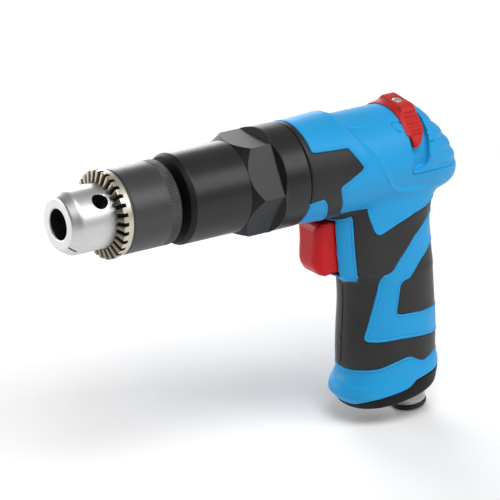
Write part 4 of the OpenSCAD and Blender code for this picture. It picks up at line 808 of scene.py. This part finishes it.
screw = cross_screw(radius=2.25, height=0.4, dome=0.3, slot=0.55, depth=0.5)
points, quads = field_mesh(screw, (-2.8, -2.8, -1.6), (2.8, 2.8, 1), 0.13, 1)
c, s = math.cos(math.radians(LEVER_REST)), math.sin(math.radians(LEVER_REST))
h = points[:, 2] + LEVER_TOP - LEVER_SCREW_DEEP
points = np.stack([points[:, 0] - LEVER_SCREW_AT, points[:, 1] * c + h * s, h * c - points[:, 1] * s], 1)
piece("lever_cross_screw", points, quads, "nickel", ["lever_screw"], body="reverse_lever",
      look=LOOKS["nose_steel"], sharp=40)

screw = cross_screw(radius=2.4, height=0.3, dome=0.3, slot=0.8, depth=0.9)
head, quads = field_mesh(screw, (-3, -3, -1.6), (3, 3, 1), 0.16, 1)
heads = [from_foot(head[:, 0] - SCREW_BACK, -head[:, 1] + side * SCREW_SIDE,
        -head[:, 2] - COVER_T + SCREW_DEEP) for side in (-1, 1)]
piece("cover_cross_screws", np.concatenate(heads), np.concatenate([quads, quads + len(head)]), "dark_fastener",
      ["cover_screws"], sharp=40)

# Trigger: half width by depth and rounding of its edges by drop
TRIGGER_HALF_W = ([116, 118, 120.5, 123, 127], [6.2, 7.0, 7.5, 7.3, 7.5])
TRIGGER_ROUND = ([22, 30, 38], [1.8, 3.0, 3.4])
TRIGGER_OUTLINE = rounded([(TRIGGER_AT + a * TRIGGER_L, -TRIGGER_TOP - b * TRIGGER_H) for a, b in TRIGGER_SIDE], 2.5, 4)


def trigger_field(p):
    """Trigger blade: its outline from the side, narrowed at the front."""
    d, y, z = -p[:, 0], p[:, 1], p[:, 2]
    return soft_max(outline(TRIGGER_OUTLINE, d, z), np.abs(y) - curve(d, *TRIGGER_HALF_W), curve(-z, *TRIGGER_ROUND))


piece("trigger_blade", *field_mesh(trigger_field, (-135, -9, -48), (-114, 9, -20), 0.5, 2), "red_plastic",
      ["trigger"], body="trigger", look=TRIGGER_RED, sharp=50)


def make_spring():
    """Coil of the throttle valve spring, which the trigger presses together; drawn at the length of the spring part."""
    turns, rings, sides = 6, 32, 10
    low, high = (np.array(corner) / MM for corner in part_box("valve_spring"))
    k, j = pairs(np.arange(turns * rings + 1), np.arange(sides))
    side, turn, share = j * 2 * np.pi / sides, k * 2 * np.pi / rings, k / (turns * rings)
    r = SPRING_R + SPRING_WIRE_R * np.cos(side)
    x = high[0] - SPRING_WIRE_R - share * (high[0] - low[0] - 2 * SPRING_WIRE_R) + SPRING_WIRE_R * np.sin(side)
    points = np.stack([x, r * np.cos(turn), STEM_Z + r * np.sin(turn)], 1)
    wire = triangles(ring_quads(turns * rings + 1, sides)[:-sides])
    fan = np.array([(0, i, i + 1) for i in range(1, sides - 1)])
    faces = np.concatenate([wire, fan, turns * rings * sides + fan[:, ::-1]])
    coil = piece("valve_coil", points, faces, "machined_steel", ["valve_spring"], sharp=60)
    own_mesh(coil)


make_spring()

# Black case and hexagon
SPINDLE_HOLE_R, BEARING_R, BEARING_AT, CIRCLIP_R, CIRCLIP_AT = 9, 14, 53, 14.6, 61
GEAR_R, GEAR_AT, SPIGOT_R, SPIGOT_END = 16.4, 62.22, 17.5, 86
CASE_BEVEL, CASE_DARK, CASE_BREAK = 2.2, 1.9, 0.1
CASE_SIDE = [
    (SPINDLE_HOLE_R, CASE_AT), (CASE_LIP_R, CASE_AT, 0.5), (CASE_R, CASE_AT + CASE_BEVEL, 0.6),
    (CASE_R, CASE_END - CASE_BREAK), (CASE_R - CASE_BREAK, CASE_END), (SPIGOT_R, CASE_END), (SPIGOT_R, SPIGOT_END),
    (GEAR_R, SPIGOT_END), (GEAR_R, GEAR_AT), (CIRCLIP_R, GEAR_AT), (CIRCLIP_R, CIRCLIP_AT), (BEARING_R, CIRCLIP_AT),
    (BEARING_R, BEARING_AT), (SPINDLE_HOLE_R, BEARING_AT)]
COLLAR_BORE_R, COLLAR_EDGE = 17.62, ([26, 26.3, 26.5, 26.6], [COLLAR_R, 21.08, 20.9, 20.6])

points, quads = turned(rounded(CASE_SIDE), 128, on_spindle)
case = piece("front_case", points, quads, "black_metal", ["gear_case"])
# Painted shade: the front chamfer of the case gets the near-black material
paint(case, points[quads][:, :, 0].mean(axis=1) > -CASE_AT - CASE_DARK, PAINTED_SHADE)


def make_collar():
    """Hexagon with run-out slopes, turned into a round collar. Triangles are cut where the flats meet the rounds."""
    turns, inside = 360, 20.0
    stations = np.concatenate([np.linspace(0, 8, 33), np.linspace(8.5, HEX_L - 0.5, 12),
            np.linspace(HEX_L, HEX_L + HEX_RUN, 9), np.linspace(HEX_L + HEX_RUN + 1, 25.5, 8),
            COLLAR_EDGE[0]])

    def radii(x, phi):
        away = np.mod(np.degrees(phi) - HEX_TURN + 30, 60) - 30
        run = np.maximum(0, x - HEX_L) / HEX_RUN * (HEX_CORNER_R - HEX_FLAT_R + 0.2)
        plain = np.interp(x, [0, HEX_BEVEL, HEX_L, HEX_L + HEX_RUN] + COLLAR_EDGE[0],
                [CASE_R + 0.05, HEX_CORNER_R, HEX_CORNER_R, COLLAR_R] + COLLAR_EDGE[1])
        return plain, (HEX_FLAT_R + run) / np.cos(np.radians(away))

    phi = np.arange(turns) * 2 * np.pi / turns
    x, turn = pairs(stations, phi)
    plain, flat = radii(x, turn)
    quads = ring_quads(len(stations), turns)[:-turns]
    points = on_spindle(np.minimum(plain, flat), turn, CASE_END + x)
    points, data, tris = cut(points, (plain - flat)[:, None], triangles(quads), 0, 0.0, 0.25)
    x, turn = -points[:, 0] - CASE_END, np.arctan2(points[:, 1], points[:, 2])
    points = on_spindle(np.minimum(*radii(x, turn)), turn, CASE_END + x)
    n, last = len(points), (len(stations) - 1) * turns
    rings = [on_spindle(np.full(turns, COLLAR_BORE_R), phi, np.full(turns, s)) for s in (COLLAR_END, CASE_END)]
    j = np.arange(turns)
    m = (j + 1) % turns
    starts = [last, n, n + turns, 0]
    inner = np.concatenate([np.stack([a + j, b + j, b + m, a + m], 1) for a, b in zip(starts[:-1], starts[1:])])
    tris = np.concatenate([tris, triangles(inner)])
    middle = data[np.minimum(tris, n - 1), 0].mean(axis=1)
    place = np.append(x, np.full(2 * turns, inside))[tris].mean(axis=1)
    # Painted shade: the bevel cone in front of the flats and the crescents behind them get the near-black material
    shade = ((middle < 0) & (place < HEX_BEVEL)) | ((middle > 0) & (place > HEX_L))
    obj = piece("spanner_collar", np.concatenate([points] + rings), tris, "black_metal", ["hex_collar"], sharp=18)
    paint(obj, shade, PAINTED_SHADE)


make_collar()

# Chuck nose: sizes as radius, station and, for the neck, tail and flange, half length
KEY_HOLE_AT, KEY_HOLE_R, KEY_TURN = 13.7, 3.25, 43
NOSE_TIP_R, NOSE_R, NOSE_END, NOSE_RUN, NOSE_RISE, NOSE_SLANT = 10.5, 12.9, 21.5, 3.8, 2.4, 4.49
NECK, TAIL, FLANGE = (8.9, 24, 5), (12, 37.25, 9.75), (15.3, 44.3, 2.7)
BIT_R, BIT_END, REAR_R, REAR_END, THREAD_R, THREAD_AT = 6.2, 10.2, 5.6, 30, 4.8, 34
JAW_R, JAW_OUT, JAW_AT, JAW_FRONT, JAW_END, JAW_TILT = 2.65, 6.2, 21.4, 3.8, 41, math.radians(20)
SLIT_TURN, SLIT_TWIST, SLIT_AT, SLIT_CONE = 133.8, 1.5, 1.8, 0.63


def nose_field(p):
    """Chuck body: chamfered nose, key holes, bore, jaw channels, nut groove and tail."""
    d, y, z = -p[:, 0], p[:, 1], p[:, 2]
    r = np.hypot(y, z)
    chamfer = ((r - NOSE_TIP_R) * NOSE_RUN - d * NOSE_RISE) / NOSE_SLANT
    f = soft_max(soft_max(soft_max(-d, chamfer, 0.5), r - NOSE_R, 0.4), d - NOSE_END, 0.2)
    for radius, at, half in (NECK, TAIL):
        f = np.minimum(f, np.maximum(r - radius, np.abs(d - at) - half))
    f = np.minimum(f, soft_max(r - FLANGE[0], np.abs(d - FLANGE[1]) - FLANGE[2], 0.3))
    f = soft_max(f, -np.maximum(r - BIT_R, d - BIT_END), 0.5)
    f = np.maximum(f, -np.maximum(r - REAR_R, d - REAR_END))
    f = np.maximum(f, -np.maximum(r - THREAD_R, THREAD_AT - d))
    for k in range(3):
        key, jaw = math.radians(KEY_TURN + 120 * k), math.radians(KEY_TURN + 60 + 120 * k)
        up, side = y * math.sin(key) + z * math.cos(key), y * math.cos(key) - z * math.sin(key)
        f = soft_max(f, -np.maximum(np.hypot(side, d - KEY_HOLE_AT) - KEY_HOLE_R, -up), 0.25)
        up, side = y * math.sin(jaw) + z * math.cos(jaw), y * math.cos(jaw) - z * math.sin(jaw)
        off = (up - JAW_OUT) * math.cos(JAW_TILT) - (d - JAW_AT) * math.sin(JAW_TILT)
        f = np.maximum(f, -np.maximum.reduce([np.hypot(off, side) - JAW_R, JAW_FRONT - d, d - JAW_END]))
    turn = np.degrees(np.arctan2(y, z))
    slit = [np.abs(turn - SLIT_TURN - SLIT_TWIST * d) * 0.2 - 0.42, np.abs(d - SLIT_AT) - 1.5, 9.8 + d * SLIT_CONE - r]
    return np.maximum(f, -np.maximum.reduce(slit))


def make_nose():
    """Chuck nose, with painted shade in its bore, key holes and slit, and the same dark material on its tail."""
    points, quads = field_mesh(nose_field, (-48, -16.4, -16.4), (1.0, 16.4, 16.4), 0.4, 1)
    obj = piece("chuck_nose", points, quads, "nose_steel", ["chuck_body"], body="spindle", sharp=35)
    x, y, z = points[quads].mean(axis=1).T
    d, r, turn = -x, np.hypot(y, z), np.degrees(np.arctan2(y, z))
    # Painted shade inside the bore, the key holes and the slit; the tail is hidden in the sleeve
    shade_or_hidden = (r < 6.6) & (d > 0.5) | (d > 5) & (r < 12.4) | (d > 24)
    slit = (np.abs(turn - SLIT_TURN - SLIT_TWIST * d) < 2.6) & (np.abs(d - SLIT_AT) < 1.6) & (r < 10.2 + d * SLIT_CONE)
    paint(obj, shade_or_hidden | slit, PAINTED_SHADE)


make_nose()


def make_sleeve():
    """Sleeve with key teeth: a grid of columns that follow the gaps, and rings along the profile."""
    nose, lip, ring, sleeve, bore, back = 17.9, 13.05, 17.6, 17.0, 15.4, 21.75
    rim, end, teeth, half, tick = 23.4, 46.4, 29, 0.75, 0.3

    def cone(r, behind=0):
        return nose + behind + 1.2 * (r - lip) / (ring - lip)

    profile = [(lip, back), (lip, nose + 0.15), (lip + 0.15, nose)]
    profile += [(r, cone(r)) for r in np.linspace(lip + 0.5, ring - 0.25, 8)]
    face_rows = len(profile)
    profile += [(ring - 0.08, nose + 1.25), (ring, nose + 1.45)]
    profile += [(ring - 0.4 * t, nose + 1.45 + 4.05 * t) for t in np.linspace(0.06, 1, 12)]
    rim_rows = len(profile)
    profile += [(sleeve, rim + 0.25), (sleeve, rim + 0.5), (sleeve - 0.25, rim + 0.7), (sleeve - 0.25, rim + 1.1),
            (sleeve, rim + 1.3)]
    even = len(profile)
    profile += [(sleeve, s) for s in np.linspace(rim + 3, end - 5.2, 6)]
    ticks = range(len(profile), len(profile) + 2)
    profile += [(sleeve, end - 4.8), (sleeve, end - 1.5), (sleeve, end - 1.2)]
    profile += [(sleeve - 0.12, end - 0.75), (sleeve - 0.4, end - 0.3), (sleeve - 1, end), (bore, end), (bore, back)]
    offsets = [-1.14, -1, -0.85, -0.5, 0, 0.5, 0.85, 1, 1.14]
    columns = [(i, w, share) for i in range(teeth)
            for w, share in [(w, None) for w in offsets] + [(None, share) for share in (0.2, 0.5, 0.8)]]
    pitch = 2 * math.pi / teeth
    root_at, root_from, root_run, root_rise = nose + 0.6, 12.9, 5.7, 2.0
    points, look = [], []
    for row, (r, s) in enumerate(profile):
        for place, (i, w, share) in enumerate(columns):
            gap = w is not None and -1 <= w < 1
            # Material numbers: 2 paints shade into the gaps between the teeth, 1 is the tooth rim, 3 the tooth land
            look.append(0 if not 1 <= row < rim_rows else 2 if gap and s < 21 else 3 if row < face_rows else 1)
            if row >= even:
                deep = tick if row in ticks and place % 3 == 0 else 0
                turn = place * 2 * math.pi / len(columns)
                points.append((-s, (r - deep) * math.sin(turn), (r - deep) * math.cos(turn)))
                continue
            if w is not None:
                turn = math.asin(w * half / r)
            else:
                edge = math.asin(offsets[-1] * half / r)
                turn = edge + share * (pitch - 2 * edge)
            deep = s
            if w is not None and s < 21.6:
                root = root_at + root_rise * (r - root_from) / root_run
                deep = max(s, root + half * math.sqrt(max(0, 1 - w * w)) if abs(w) <= 1 else cone(r, 0.12))
            points.append((-deep, r * math.sin(i * pitch + turn), r * math.cos(i * pitch + turn)))
    obj = piece("toothed_sleeve", np.array(points), ring_quads(len(profile), len(columns)), "sleeve_steel",
            ["chuck_sleeve"], body="chuck_sleeve", sharp=34)
    paint(obj, look, TOOTH_STEEL, PAINTED_SHADE, LAND_STEEL)


make_sleeve()

# Air inlet under the foot and the ring at its end, as radius, height above the foot plane and corner radius
INLET_SIDE = [
    (5.7, -13.4), (6.9, -13.4), (7.3, -12.9, 0.3), (7.3, -11.4, 0.8), (6.7, -9, 1.2), (6.7, -6.6, 0.8),
    (7.2, -5.6, 0.4), (7.2, 0), (9, 0), (9, 15.2), (4, 15.2), (4, 0.1), (5.7, 0.1)]
GUARD_SIDE = [(6.3, -15.2), (7.6, -15.2, 0.7), (7.6, -13.4, 0.3), (6.3, -13.4)]
piece("inlet_bush", *turned(rounded(INLET_SIDE), 96, on_inlet), "nickel", ["inlet_bushing"])
piece("inlet_guard", *turned(rounded(GUARD_SIDE), 96, on_inlet), "black_rubber", ["inlet_guard_ring"])

# Camera at the photograph's place, floor, light and sky
SENSOR, FOCAL_PIXELS, PICTURE_PIXELS = 36.0, 3409.3, 500
FLOOR_HALF, LIGHT_AIM = 12.0, (-0.1, 0, -0.03)
# Area lights as name, place, size and power
LIGHTS = [
    ("key", (0.15, 0.7, 1.25), 0.8, 14), ("side", (-0.85, 0.95, 0.85), 0.8, 7),
    ("fill", (0.5, -0.8, 0.02), 0.6, 5), ("back", (-0.45, -1.25, 0.35), 0.8, 12)]


def set_up(name, data, right, up, back, place):
    """Object in the scene, turned by its three axes."""
    obj = bpy.data.objects.new(name, data)
    obj.matrix_world = Matrix([[right[k], up[k], back[k], place[k]] for k in range(3)] + [[0, 0, 0, 1]])
    bpy.context.scene.collection.objects.link(obj)
    return obj


def make_camera():
    """Camera fitted to the circles and outlines of the photograph."""
    data = bpy.data.cameras.new("camera")
    data.sensor_width, data.lens = SENSOR, SENSOR * FOCAL_PIXELS / PICTURE_PIXELS
    data.clip_start, data.clip_end = 0.05, 50
    right, up, back = (-0.8222, 0.5693, 0), (-0.1978, -0.2856, 0.9377), (0.5338, 0.7709, 0.3474)
    bpy.context.scene.camera = set_up("camera", data, right, up, back, (0.6356, 1.0467, 0.4426))


def make_stage():
    """White floor, a sky that is brighter behind the tool, and area lights."""
    scene = bpy.context.scene
    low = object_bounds()[0][2]
    mesh = bpy.data.meshes.new("floor")
    corners = [(x * FLOOR_HALF, y * FLOOR_HALF, low) for x, y in ((-1, -1), (1, -1), (1, 1), (-1, 1))]
    mesh.from_pydata(corners, [], [(0, 1, 2, 3)])
    floor = bpy.data.objects.new("floor", mesh)
    scene.collection.objects.link(floor)
    mesh.materials.append(finish("floor_white", (0.9, 0.9, 0.9), (0.92, 0.92, 0.92), (0.7, 0.8), patch=2, grain=30,
            bump=0))
    world = bpy.data.worlds.new("studio")
    world.use_nodes = True
    tree = world.node_tree
    split = add(tree, "SeparateXYZ", Vector=add(tree, "TexCoord").outputs["Generated"])
    feed(tree, tree.nodes["Background"], Color=(1, 1, 1, 1),
         Strength=ranged(tree, split.outputs["X"], 0.36, 0.08, -0.3, 0.7))
    scene.world = world
    for name, place, size, power in LIGHTS:
        data = bpy.data.lights.new(name, "AREA")
        data.size, data.energy = size, power
        aim = np.array(LIGHT_AIM) - np.array(place)
        aim /= np.linalg.norm(aim)
        side = np.cross(aim, (0, 0, 1))
        side /= np.linalg.norm(side)
        set_up(name, data, side, np.cross(side, aim), -aim, place)
    scene.view_settings.view_transform = "Standard"


make_camera()
make_stage()
